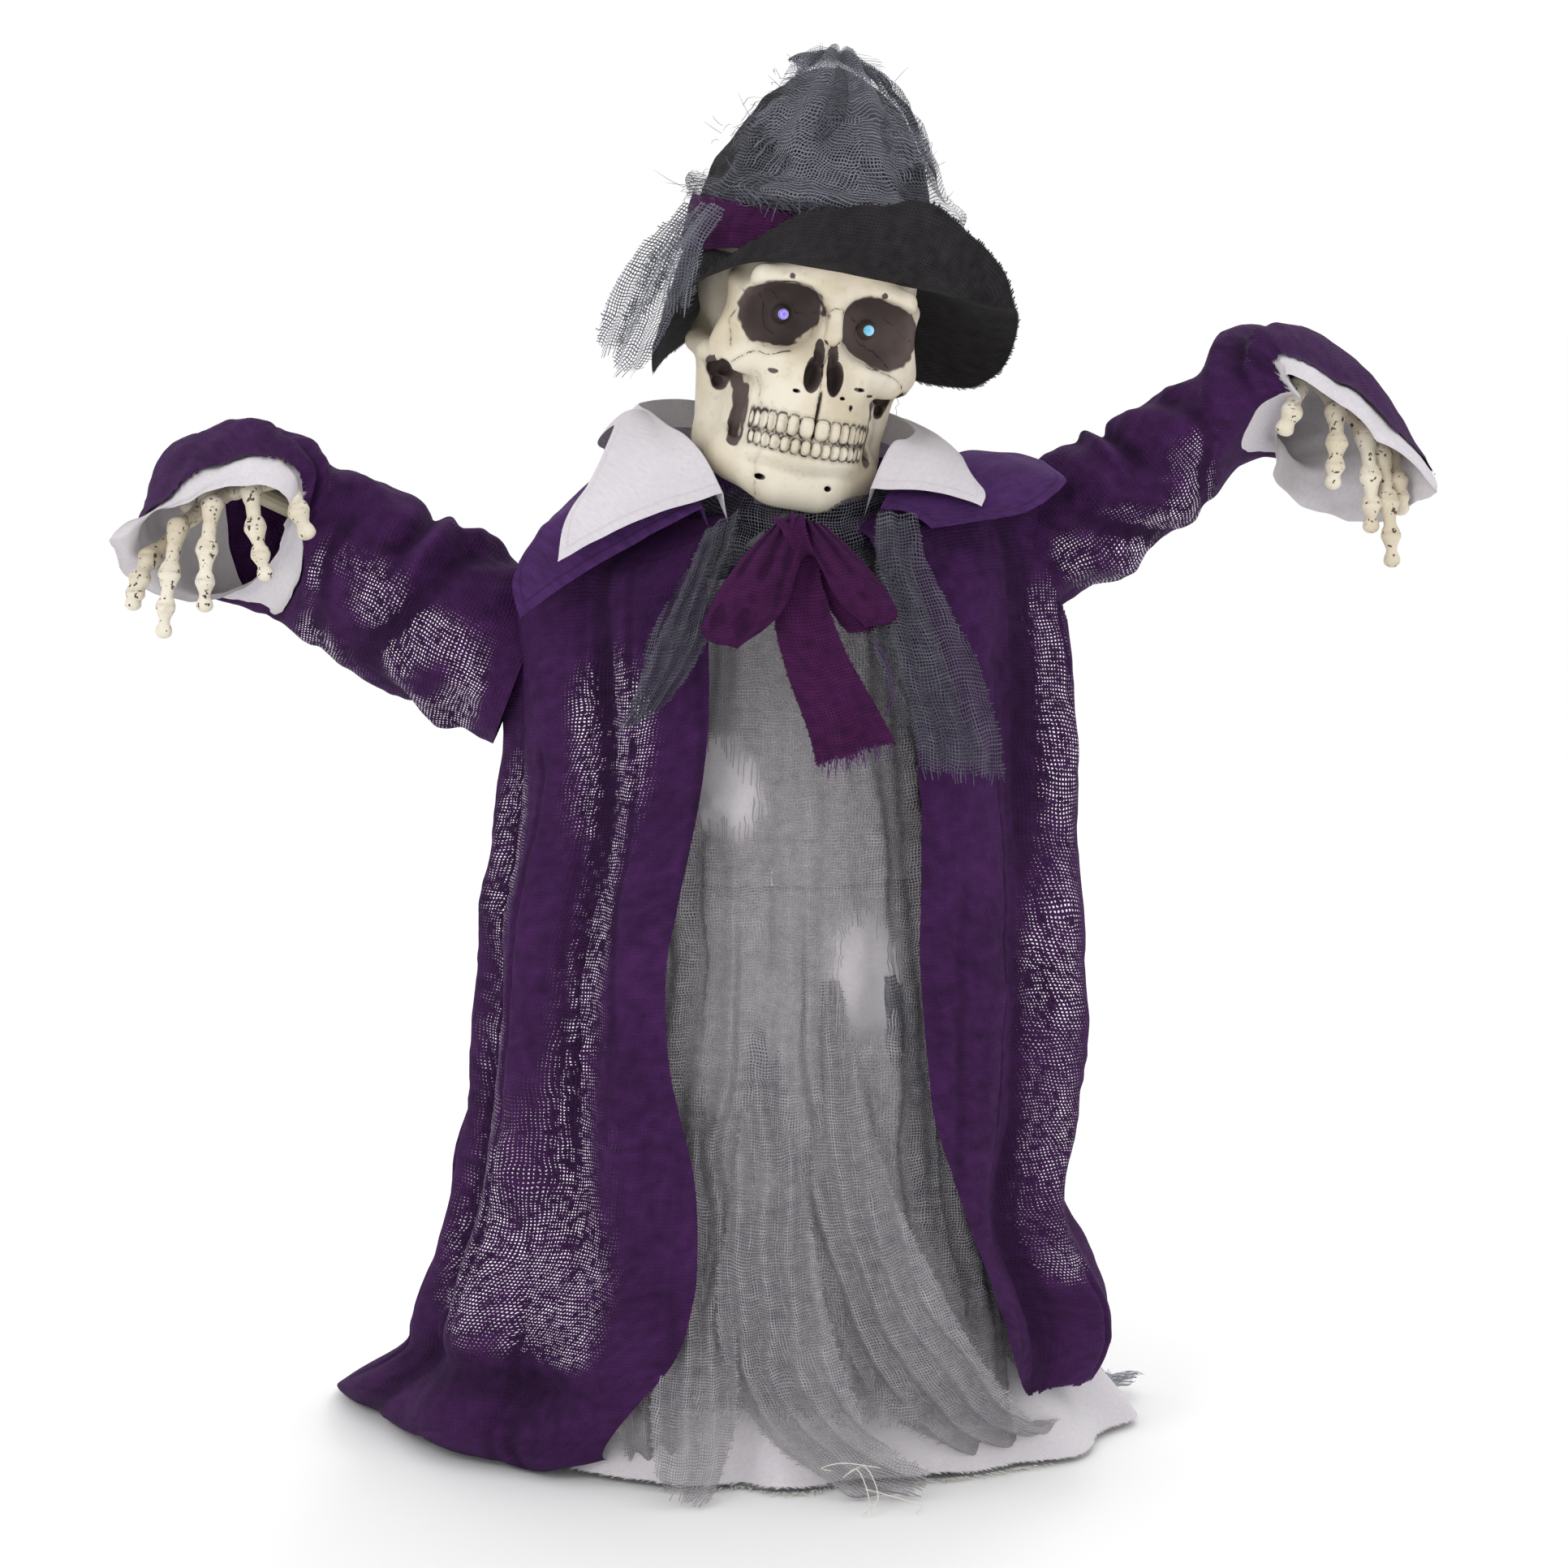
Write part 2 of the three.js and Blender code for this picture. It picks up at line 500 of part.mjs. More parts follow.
function skirts() {
  const panel = (name, first, last, low, across) => {
    const a = THREE.MathUtils.degToRad(first);
    const b = THREE.MathUtils.degToRad(last);
    const size = (v, angle) => coatSize(fromTo(low, COAT.top, v), angle);
    add(figure, name, wrap(across, 5, COAT.thick, low, COAT.top, a, b, size), PURPLE_CLOTH);
  };
  panel("coat_front_left", 28, 88, 50, 7);
  panel("coat_back", 89.5, 270.5, 0, 16);
  panel("coat_front_right", 272, 332, 0, 7);

  const dressTop = 572;
  const dressSize = (v) => [fromTo(196, 96, v ** 0.8), fromTo(146, 70, v ** 0.55)];
  const edge = THREE.MathUtils.degToRad(62);
  add(figure, "gauze_dress", wrap(10, 7, 3, 0, dressTop, -edge, edge, dressSize), GREY_GAUZE);

  const rings = 4;
  const liningTop = 424;
  const profile = [];
  const radius = (t) => fromTo(1.72, 1, t ** 0.7);
  for (let i = 0; i <= rings; i++) profile.push([radius(i / rings), (liningTop * i) / rings]);
  for (let i = rings; i >= 0; i--) profile.push([radius(i / rings) - 0.035, (liningTop * i) / rings]);
  profile.push(profile[0]);
  const lining = turned(profile, 22).scale(100, 72, 1).translate(0, COAT.centreY + 4, 0);
  add(figure, "lining_skirt", lining, WHITE_CLOTH);
}

// ---- bow and scarf, tied in front of the neck ----
function neckwear() {
  const loop = (s) => ellipsoid(24, 9, 30, s * 22, -117, 578, 10, 6);
  const knot = ellipsoid(11, 11, 14, 0, -117, 592, 10, 8);
  const tail = block([14, -120, 490], [44, -114, 590]);
  add(figure, "bow", joined(loop(1), loop(-1), knot, tail), PURPLE_CLOTH);
  const ends = [[-1, 500], [1, 470]].map(([s, low]) =>
    sheet(3, 5, 3, (u, v, inward) => [
      s * (fromTo(112, 54, v) + fromTo(-22, 22, s > 0 ? u : 1 - u)), -118 + inward + 14 * v, fromTo(low, 606, v),
    ]));
  const band = block([-60, -103.5, 596], [60, -99, 610]);
  add(figure, "gauze_scarf", joined(...ends, band), GREY_GAUZE);
}

// ---- neck and head ----
function neckAndHead() {
  const neck = group(figure, 0, 0, NECK_Z);
  neck.rotation.y = NECK_TILT;
  const toothTurn = Math.PI / NECK_TEETH + Math.PI; // a gap at the bottom, where the rocker gear's tooth stands
  const pinHole = alongY(NECK_PIN_R + 0.2, -60, 60, 0, 0, 24);
  const sector = upright(gearOutline(NECK_TEETH, -5, 4, 9), GEAR_FRONT, GEAR_FRONT + GEAR_T).rotateY(toothTurn);
  add(neck, "neck_gear", cut(sector, pinHole), WHITE_PLASTIC);
  const boss = alongY(9, GEAR_FRONT + GEAR_T + GAP, 15.5, 0, 0);
  const post = block([HEAD_SHIFT - 8, -14, 4], [8, 12, 22]);
  add(neck, "neck_yoke", cut(joined(boss, post), pinHole), WHITE_PLASTIC);
  add(neck, "head_gearmotor", block([HEAD_SHIFT - 17, -17, 22 + GAP], [HEAD_SHIFT + 17, 15, 56]), BLACK_PLASTIC);

  const head = group(neck, HEAD_SHIFT, 0, 0);
  head.rotation.z = HEAD_YAW;
  skull(head);
  hat(head);
}

// Heights here are above the neck pin.
const EYE = { x: 28, z: 128 };

function skull(head) {
  const brain = ellipsoid(71, 90, 76, 0, 5, 150, 18, 12);
  const cheeks = ellipsoid(69, 58, 34, 0, -22, 102, 14, 8);
  const muzzle = ellipsoid(42, 40, 46, 0, -48, 66, 14, 8);
  const jaw = ellipsoid(60, 62, 42, 0, -22, 50, 14, 8);
  const eyes = [-1, 1].map((s) => ellipsoid(24, 22, 21, s * 31, -86, 126, 12, 8));
  const nose = [-1, 1].map((s) => ellipsoid(6, 20, 15, s * 7.5, -92, 98, 8, 6));
  const cavity = ellipsoid(63, 73, 68, 0, 13, 148, 14, 10);
  const lamps = [-1, 1].map((s) => alongY(3, -90, -40, s * EYE.x, EYE.z, 12));
  const throat = ellipsoid(46, 56, 74, 0, -6, 60, 12, 8);
  const neckRoom = alongZ(50, -30, 30, 20);
  const whole = cut(joined(brain, cheeks, muzzle, jaw), ...eyes, ...nose, ...lamps, cavity, throat, neckRoom);
  const split = 12;
  const seam = 95; // the back shell ends above the jaw
  const front = cut(whole, block([-120, split - GAP / 2, seam - GAP], [120, 160, 300]));
  const back = common(cut(brain, cavity), block([-120, split + GAP / 2, seam], [120, 160, 300]));
  add(head, "skull_front", front, BONE);
  add(head, "skull_back", back, BONE);
  const plate = common(ellipsoid(61, 71, 66, 0, 13, 148, 14, 10), block([-90, -34, 114], [90, 60, 119]));
  add(head, "head_turntable", joined(plate, alongZ(4, 56 + GAP, 115, 14)), WHITE_PLASTIC);
  [["left", 1], ["right", -1]].forEach(([side, s]) => {
    const lens = new THREE.CapsuleGeometry(2.7, 18, 3, 12).translate(s * EYE.x, -63, EYE.z);
    add(head, `eye_led_${side}`, lens, LED_LENS);
  });
}

function hat(head) {
  // The brim droops at the sides and behind, and its front is turned up over the face.
  const brim = turned([[78, 158], [136, 144], [138, 146.5], [80, 162], [78, 162], [78, 158]], 24);
  const at = brim.attributes.position;
  for (let i = 0; i < at.count; i++) {
    const [x, y, z] = [at.getX(i), at.getY(i), at.getZ(i)];
    const out = Math.max(0, Math.hypot(x, y) - 80) / 58;
    const front = Math.max(0, -y / Math.hypot(x, y));
    const side = Math.abs(x) / Math.hypot(x, y);
    const lift = out * (44 * front ** 2 - 52 * side ** 2 - 14 * (1 - front) * (1 - side));
    const reach = 1 - out * (x < 0 ? 0.3 : 0.02) * side;
    at.setXYZ(i, x * 0.98 * reach, y * (1.2 - 0.25 * out) + 5, z + lift);
  }
  add(head, "hat_brim", brim, BLACK_CLOTH);
  // The crown leans over to the figure's right as it rises.
  const slouch = (geometry) => {
    const points = geometry.scale(0.95, 1.12, 1).translate(0, 5, 0).attributes.position;
    for (let i = 0; i < points.count; i++) {
      points.setX(i, points.getX(i) - 26 * Math.max(0, (points.getZ(i) - 190) / 116) ** 1.3);
    }
    return geometry;
  };
  const crown = turned([[83, 168], [82, 190], [76, 216], [66, 246], [50, 280], [26, 302], [0, 306], [0, 302],
    [24, 298], [46, 277], [62, 244], [73, 215], [79, 190], [80, 168], [83, 168]], 20);
  add(head, "hat_crown", slouch(crown), BLACK_CLOTH);
  const band = turned([[84.5, 168], [87.5, 168], [87, 192], [84.5, 192], [84.5, 168]], 20);
  add(head, "hat_band", slouch(band), PURPLE_CLOTH);
  const gauze = turned([[85, 193], [90, 193], [84, 218], [74, 250], [56, 286], [30, 309], [0, 313], [0, 308],
    [27, 304], [52, 282], [68.5, 248], [79, 217], [85, 193]], 20);
  add(head, "hat_gauze", slouch(gauze), GREY_GAUZE);
}

stand();
chestCase();
chestInside();
drive();
shoulders();
skirts();
neckwear();
neckAndHead();

export default figure;
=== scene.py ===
import math
import bmesh
import bpy
import numpy as np
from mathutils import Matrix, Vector


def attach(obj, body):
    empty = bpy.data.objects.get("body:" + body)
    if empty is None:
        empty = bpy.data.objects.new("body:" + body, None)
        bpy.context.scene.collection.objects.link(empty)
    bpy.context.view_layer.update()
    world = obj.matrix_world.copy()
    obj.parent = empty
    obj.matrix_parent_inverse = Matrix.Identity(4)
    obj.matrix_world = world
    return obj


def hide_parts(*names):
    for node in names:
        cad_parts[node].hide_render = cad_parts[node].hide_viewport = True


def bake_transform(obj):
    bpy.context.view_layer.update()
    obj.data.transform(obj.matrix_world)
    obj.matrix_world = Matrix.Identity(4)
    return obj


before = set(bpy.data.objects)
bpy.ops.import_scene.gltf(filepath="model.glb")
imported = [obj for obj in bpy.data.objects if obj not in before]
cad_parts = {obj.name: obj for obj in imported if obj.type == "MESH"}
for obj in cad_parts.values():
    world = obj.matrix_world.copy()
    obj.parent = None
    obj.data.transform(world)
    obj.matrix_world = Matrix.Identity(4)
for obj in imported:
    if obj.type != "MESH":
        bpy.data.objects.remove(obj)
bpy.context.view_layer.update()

# An animated witch: a life-size skeleton bust in a purple coat over a gauze dress, on a steel stand.
# Lengths are in millimetres, and every mesh is turned into metres as it is made.
MM = 0.001

# Joint centres and rest angles of the frame
ROCKER_Z, NECK_Z = 560, 627.5
ROCK, NECK_TILT, HEAD_YAW, HEAD_SHIFT = -8.8, 11, 12, -13
SHOULDER = (150, 0, 10)
ARM_LIFT = {"left": 26, "right": 34}
ARM_LENGTH, ARM_BACK = 235, 25.5
FLOOR = 0.4         # how far the floor lies under the base plate
FLOOR_SIZE = 30000
FRONT_LIMIT = -152  # where points of the loose cloth and threads that come further forward are moved back to
SKULL_GRID, HAND_GRID, QUICK_GRID = 1.05, 1.0, 1.6  # cell sizes of the skull's and the hands' fields
WORLD_GLOW = 1.03
LENS_SIZE = 0.85    # the clear dome against its profile


# ---------------------------------------------------------------- maths
def turn(axis, degrees):
    """A rotation about an axis as a 4x4 matrix."""
    c, s = math.cos(math.radians(degrees)), math.sin(math.radians(degrees))
    m = np.eye(4)
    i, j = {"x": (1, 2), "y": (2, 0), "z": (0, 1)}[axis]
    m[i, i] = m[j, j] = c
    m[i, j], m[j, i] = -s, s
    return m


def move(x, y, z):
    m = np.eye(4)
    m[:3, 3] = x, y, z
    return m


def placed(matrix, points):
    return np.asarray(points) @ matrix[:3, :3].T + matrix[:3, 3]


ROCKER = move(0, 0, ROCKER_Z) @ turn("y", ROCK)
HEAD = move(0, 0, NECK_Z) @ turn("y", NECK_TILT) @ move(HEAD_SHIFT, 0, 0) @ turn("z", HEAD_YAW)
SIDES = {"left": 1, "right": -1}
ARM = {side: ROCKER @ move(s * SHOULDER[0], 0, SHOULDER[2]) @ turn("y", -s * ARM_LIFT[side])
       for side, s in SIDES.items()}

LATTICE = np.random.default_rng(11).random((32, 32, 32))


def noise(points, size, seed=0.0):
    """Smooth noise from -1 to 1 with features of that size."""
    q = np.asarray(points, float) / size + seed * np.array([7.31, 3.17, 5.73])
    whole = np.floor(q).astype(int)
    f = q - whole
    f = f * f * (3 - 2 * f)
    total = 0
    for corner in np.ndindex(2, 2, 2):
        weight = np.prod(np.where(corner, f, 1 - f), axis=-1)
        at = (whole + corner) % 32
        total = total + weight * LATTICE[at[..., 0], at[..., 1], at[..., 2]]
    return 2 * total - 1


def smooth(low, high, x):
    t = np.clip((np.asarray(x, float) - low) / (high - low), 0, 1)
    return t * t * (3 - 2 * t)


def mix(a, b, t):
    return a + (b - a) * t


def hump(x, centre, width):
    return np.exp(-(((x - centre) / width) ** 2))


def keyed(keys, t):
    """A smooth line through keys, whose first number is the place along it."""
    keys = np.asarray(keys, float)
    knots, values = keys[:, 0], keys[:, 1:]
    slope = np.gradient(values, knots, axis=0)
    t = np.clip(np.asarray(t, float), knots[0], knots[-1])
    i = np.clip(np.searchsorted(knots, t, side="right") - 1, 0, len(knots) - 2)
    width = knots[i + 1] - knots[i]
    f = ((t - knots[i]) / width)[..., None]
    width = width[..., None]
    out = ((1 + 2 * f) * (1 - f) ** 2 * values[i] + f * (1 - f) ** 2 * width * slope[i]
           + f * f * (3 - 2 * f) * values[i + 1] + f * f * (f - 1) * width * slope[i + 1])
    return out[..., 0] if out.shape[-1] == 1 else out


def stack(*parts):
    return np.stack(np.broadcast_arrays(*parts), axis=-1)


# ---------------------------------------------------------------- material formulas
def srgb(r, g, b):
    return tuple(((c / 255 + 0.055) / 1.055) ** 2.4 if c > 10 else c / 3295 for c in (r, g, b)) + (1,)


class Value:
    """An output socket that can be used in a formula."""

    tree = None

    def __init__(self, socket):
        self.socket = socket


def feed(socket, value):
    if isinstance(value, Value):
        Value.tree.links.new(value.socket, socket)
    else:
        socket.default_value = value


def node(kind, out=0, settings=(), **inputs):
    n = Value.tree.nodes.new("ShaderNode" + kind)
    for key, value in dict(settings).items():
        setattr(n, key, value)
    for key, value in inputs.items():
        feed(n.inputs[int(key[1:])] if key[0] == "i" and key[1:].isdigit() else n.inputs[key], value)
    return Value(n.outputs[out])


def maths(operation, *args):
    return node("Math", 0, {"operation": operation}, **{f"i{k}": a for k, a in enumerate(args)})


for _name, _operation in {"add": "ADD", "sub": "SUBTRACT", "mul": "MULTIPLY", "truediv": "DIVIDE",
                          "pow": "POWER"}.items():
    setattr(Value, f"__{_name}__", lambda a, b, o=_operation: maths(o, a, b))
    setattr(Value, f"__r{_name}__", lambda a, b, o=_operation: maths(o, b, a))


def step(low, high, value):
    return node("MapRange", 0, {"interpolation_type": "SMOOTHSTEP"}, Value=value, i1=low, i2=high)


def blend(factor, a, b):
    return node("Mix", 2, {"data_type": "RGBA"}, i0=factor, i6=a, i7=b)


def wave(vector, scale, detail=2.0, rough=0.5):
    return node("TexNoise", 0, {}, Vector=vector, Scale=scale, Detail=detail, Roughness=rough)


def random_of(value):
    return node("TexWhiteNoise", 0, {"noise_dimensions": "1D"}, W=value)


def vector(x, y, z=0.0):
    return node("CombineXYZ", 0, {}, X=x, Y=y, Z=z)


def attribute(name):
    return node("Attribute", 2, {"attribute_name": name})


def objects():
    return node("TexCoord", 3)


def texture_axes():
    split = Value.tree.nodes.new("ShaderNodeSeparateXYZ")
    feed(split.inputs[0], node("TexCoord", 2))
    return Value(split.outputs[0]), Value(split.outputs[1])


def bumped(height, distance, strength=1.0):
    return node("Bump", 0, {}, Height=height, Distance=distance, Strength=strength)


def material(name, build):
    m = bpy.data.materials.new(name)
    m.use_nodes = True
    Value.tree = m.node_tree
    m.node_tree.nodes.clear()
    shader = m.node_tree.nodes.new("ShaderNodeBsdfPrincipled")
    for key, value in build().items():
        feed(shader.inputs[key.replace("_", " ")], value)
    output = m.node_tree.nodes.new("ShaderNodeOutputMaterial")
    m.node_tree.links.new(shader.outputs[0], output.inputs[0])
    return m


def woven(name, pitch, thread, light, dark, gap=None, lining=None, wander=0.12, fray=0.006, stitch=None,
          **plain):
    """Plain weave on UVs in metres. gap None leaves real holes; otherwise the gaps are painted shade, or show
    the lining as painted backlight where the attribute sheer is high. The attributes end and side are how far
    a raw edge is, crease is how deep in a fold a place lies, darkened there as painted shade, and stitch is
    how far from its edges a hem is sewn."""
    side_fray = fray * 0.4

    def build():
        u, v = texture_axes()
        a = u / pitch + (wave(vector(u * 25, v * 25, 3.3), 1.0) - 0.5) * 5
        b = v / pitch + (wave(vector(u * 25, v * 25, 9.1), 1.0) - 0.5) * 5
        ia, ib = maths("FLOOR", a), maths("FLOOR", b)
        sheer = step(0.05, 1.0, attribute("sheer")) if lining else 0.0
        base = thread if not lining else 0.5 - sheer * (0.5 - thread)
        width_a = base + (wave(vector(ia * 0.73, b * 0.09), 1.0, 1) - 0.5) * 2 * wander
        width_b = base + (wave(vector(ib * 0.73, a * 0.09, 5.5), 1.0, 1) - 0.5) * 2 * wander
        off_a = maths("ABSOLUTE", a - ia - 0.5) / width_a
        off_b = maths("ABSOLUTE", b - ib - 0.5) / width_b
        end, side, crease = attribute("end"), attribute("side"), attribute("crease")
        # near a raw end only the threads that run out of it are left, each of its own length
        loose_a = end - fray * (0.05 + random_of(ia) * 0.95)
        loose_b = side - side_fray * (0.05 + random_of(ib + 77.7) * 0.95)
        near_end, near_side = step(fray * 0.5, fray, end), step(side_fray * 0.5, side_fray, side)
        here_a = (1.0 - step(0.86, 1.1, off_a)) * step(0.0, 0.0008, loose_a) * near_side
        here_b = (1.0 - step(0.86, 1.1, off_b)) * step(0.0, 0.0008, loose_b) * near_end
        cover = maths("MAXIMUM", here_a, here_b)
        over = maths("SINE", (a + ib) * math.pi)
        height = maths("MAXIMUM", (1.0 - off_a * off_a) * (0.75 + over * 0.25) * here_a,
                       (1.0 - off_b * off_b) * (0.75 - over * 0.25) * here_b)
        patch = wave(vector(u * 18, v * 18), 1.0, 3)
        slub = wave(vector(ia * 0.31, b * 0.2), 1.0, 1) * 0.5 + wave(vector(a * 0.2, ib * 0.31), 1.0, 1) * 0.5
        fibre = wave(vector(a, b), 2.3, 2)
        shade = slub * 1.1 + patch * 0.7 + fibre * 0.35 - 0.6
        colour = blend(shade, dark, light)
        # painted shade: by the attribute crease, the colour darkens in fold valleys towards a third of the
        # dark colour
        deep = tuple(channel * 0.3 for channel in dark[:3]) + (1,)
        colour = blend(crease * 0.55, colour, deep)
        if stitch:
            seam = 1.0 - step(0.0003, 0.0009, maths("ABSOLUTE", maths("MINIMUM", end, side) - stitch))
            colour = blend(seam * 0.3, colour, dark)
            height = height - seam * 1.5
        result = dict(Roughness=0.88 - fibre * 0.1, **plain)
        # Gaps that are not real holes are painted. The gap colour is painted shade behind the threads, and
        # where sheer is high, random specks take the lining colour as painted backlight.
        if gap is not None:
            backlit_specks = step(0.5, 0.6, random_of(ia * 13.7 + ib) * 0.5 + patch * 0.35 + sheer * 0.2
                         - crease * 0.4)
            inside = blend(sheer * backlit_specks, gap, lining) if lining else gap
            result["Base_Color"] = blend(cover, inside, colour)
            result["Alpha"] = maths("MAXIMUM", cover, near_end * near_side)
        else:
            result["Base_Color"] = colour
            result["Alpha"] = cover
        result["Normal"] = bumped(height + fibre * 0.15, pitch * 0.35, 0.8)
        return result

    return material(name, build)


def bone_paint(name, speck=0.0):
    """Cream moulded bone, browned in its hollows as painted shade and round its painted lines. crack is the
    distance in mm from a painted line.
    """

    def build():
        place = objects()
        grain = wave(place, 160.0, 4, 0.65)
        cloud = wave(place, 22.0, 3)
        crack, dark, cave = attribute("crack"), attribute("dark"), attribute("cave")
        ragged = crack + (wave(place, 330.0, 2) - 0.5) * 0.9
        line = 1.0 - step(0.05, 0.62, ragged)
        halo = (1.0 - step(0.0, 3.2, crack)) * 0.16
        # painted shade: brown deepens in the hollows by the attribute cave, mottled by cloud; halo browns the
        # bone round the painted lines
        hollow_shade = maths("MINIMUM", maths("MAXIMUM", cave + (cloud - 0.5) * 0.25, 0.0), 1.0)
        cream = blend(step(0.3, 0.7, cloud), srgb(200, 188, 164), srgb(228, 221, 205))
        cream = blend(step(0.52, 0.75, grain) * 0.4, cream, srgb(178, 158, 126))
        colour = blend(hollow_shade * 0.9 + halo, cream, srgb(98, 74, 55))
        pits = step(0.67 - speck * 0.06, 0.73 - speck * 0.06, wave(place, 240.0, 2, 0.6)) * speck
        colour = blend(pits, colour, srgb(64, 56, 44))
        mask = step(0.22, 0.72, dark + (wave(place, 110.0, 3, 0.7) - 0.5) * 0.36)
        colour = blend(mask, colour, blend(step(0.3, 0.7, cloud), srgb(58, 47, 45), srgb(94, 80, 77)))
        colour = blend(line, colour, srgb(34, 25, 21))
        relief = grain * 0.25 - line * 1.3 - pits * 1.0
        return dict(Base_Color=colour, Roughness=0.42 + grain * 0.22 + mask * 0.2,
                    Normal=bumped(relief, 0.0005, 0.6), Specular_IOR_Level=0.42)

    return material(name, build)


def moulded(name, colour, rough=0.45, metal=0.0, grit=900.0, depth=0.00015):
    def build():
        place = objects()
        grain = wave(place, grit, 2)
        wear = wave(place, 60.0, 4)
        deep = tuple(c * 0.72 for c in colour[:3]) + (1,)
        return dict(Base_Color=blend(wear, deep, colour), Roughness=rough + (wear - 0.5) * 0.25,
                    Metallic=metal, Normal=bumped(grain + wear, depth, 0.35))

    return material(name, build)


# Each gap colour below is painted shade behind the threads; PURPLE's lining colour is painted backlight
# showing through its weave.
PURPLE = woven("purple_weave", 0.0023, 0.29, srgb(74, 35, 88), srgb(30, 11, 38), gap=srgb(16, 6, 22),
               lining=srgb(250, 246, 252), wander=0.12, Specular_IOR_Level=0.12, Sheen_Weight=0.06,
               Sheen_Roughness=0.4, Sheen_Tint=srgb(150, 95, 190))
FELT = woven("purple_dense", 0.0019, 0.46, srgb(86, 46, 110), srgb(38, 16, 52), gap=srgb(20, 8, 28),
             wander=0.1,
             fray=0.0012, stitch=0.007, Specular_IOR_Level=0.2, Sheen_Weight=0.2, Sheen_Roughness=0.4,
             Sheen_Tint=srgb(160, 105, 200))
BAND = woven("purple_band", 0.002, 0.36, srgb(84, 30, 84), srgb(34, 9, 36), gap=srgb(18, 6, 20),
             wander=0.16, fray=0.005, Specular_IOR_Level=0.12, Sheen_Weight=0.06,
             Sheen_Tint=srgb(170, 95, 190))
GAUZE = woven("grey_gauze", 0.0023, 0.17, srgb(146, 147, 159), srgb(92, 93, 106), wander=0.1, fray=0.012)
SMOKE = woven("dark_gauze", 0.0023, 0.145, srgb(112, 113, 124), srgb(58, 59, 69), wander=0.12, fray=0.012)
DRESS = woven("dress_gauze", 0.0019, 0.21, srgb(182, 178, 182), srgb(124, 121, 128), wander=0.12, fray=0.012)
COTTON = woven("white_cotton", 0.0007, 0.49, srgb(228, 224, 228), srgb(202, 197, 203),
               gap=srgb(184, 179, 184), wander=0.05, fray=0.003, Sheen_Weight=0.15)
SHIRT = woven("shirt_cotton", 0.0007, 0.49, srgb(226, 221, 226), srgb(200, 194, 200), gap=srgb(182, 176, 182),
              wander=0.05, fray=0.0008, stitch=0.0065, Sheen_Weight=0.15)
FELTED = woven("black_buckram", 0.0021, 0.38, srgb(58, 55, 58), srgb(17, 16, 19), gap=srgb(5, 5, 6),
               wander=0.06, fray=0.003, Specular_IOR_Level=0.12, Sheen_Weight=0.03)
VEIL = woven("veil_gauze", 0.0023, 0.13, srgb(118, 120, 132), srgb(66, 68, 79), wander=0.09, fray=0.01)
BONE = bone_paint("painted_bone")
FINGER = bone_paint("finger_bone", speck=1.0)
THREADS = {name: moulded(name, colour, 0.9) for name, colour in {
    "grey_thread": srgb(132, 132, 144), "white_thread": srgb(226, 222, 212),
    "purple_thread": srgb(78, 40, 96)}.items()}


# ---------------------------------------------------------------- meshes
def build(name, points, quads, look, body, slot, corners=None, values=None, matrix=None):
    points = np.asarray(points, float).reshape(-1, 3)
    if matrix is not None:
        points = placed(matrix, points)
    mesh = bpy.data.meshes.new(name)
    mesh.vertices.add(len(points))
    mesh.vertices.foreach_set("co", (points * MM).ravel())
    mesh.loops.add(4 * len(quads))
    mesh.loops.foreach_set("vertex_index", quads.ravel().astype(np.int32))
    mesh.polygons.add(len(quads))
    mesh.polygons.foreach_set("loop_start", 4 * np.arange(len(quads), dtype=np.int32))
    if corners is not None:
        layer = mesh.uv_layers.new(name="UVMap")
        layer.uv.foreach_set("vector", corners.ravel())
    for key, value in (values or {}).items():
        data = mesh.attributes.new(key, "FLOAT", "POINT").data
        data.foreach_set("value", np.broadcast_to(value, (len(points),)).astype(np.float32).ravel())
    mesh.update(calc_edges=True)
    mesh.validate()
    mesh.polygons.foreach_set("use_smooth", [True] * len(mesh.polygons))
    obj = bpy.data.objects.new(name, mesh)
    bpy.context.scene.collection.objects.link(obj)
    mesh.materials.append(look)
    if body:
        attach(obj, body)
    return obj


def lengths(points, axis):
    gap = np.linalg.norm(np.diff(points, axis=axis), axis=-1)
    total = np.cumsum(gap, axis=axis)
    pad = np.zeros_like(np.take(total, [0], axis=axis))
    return np.concatenate([pad, total], axis=axis)


CUTS = {}


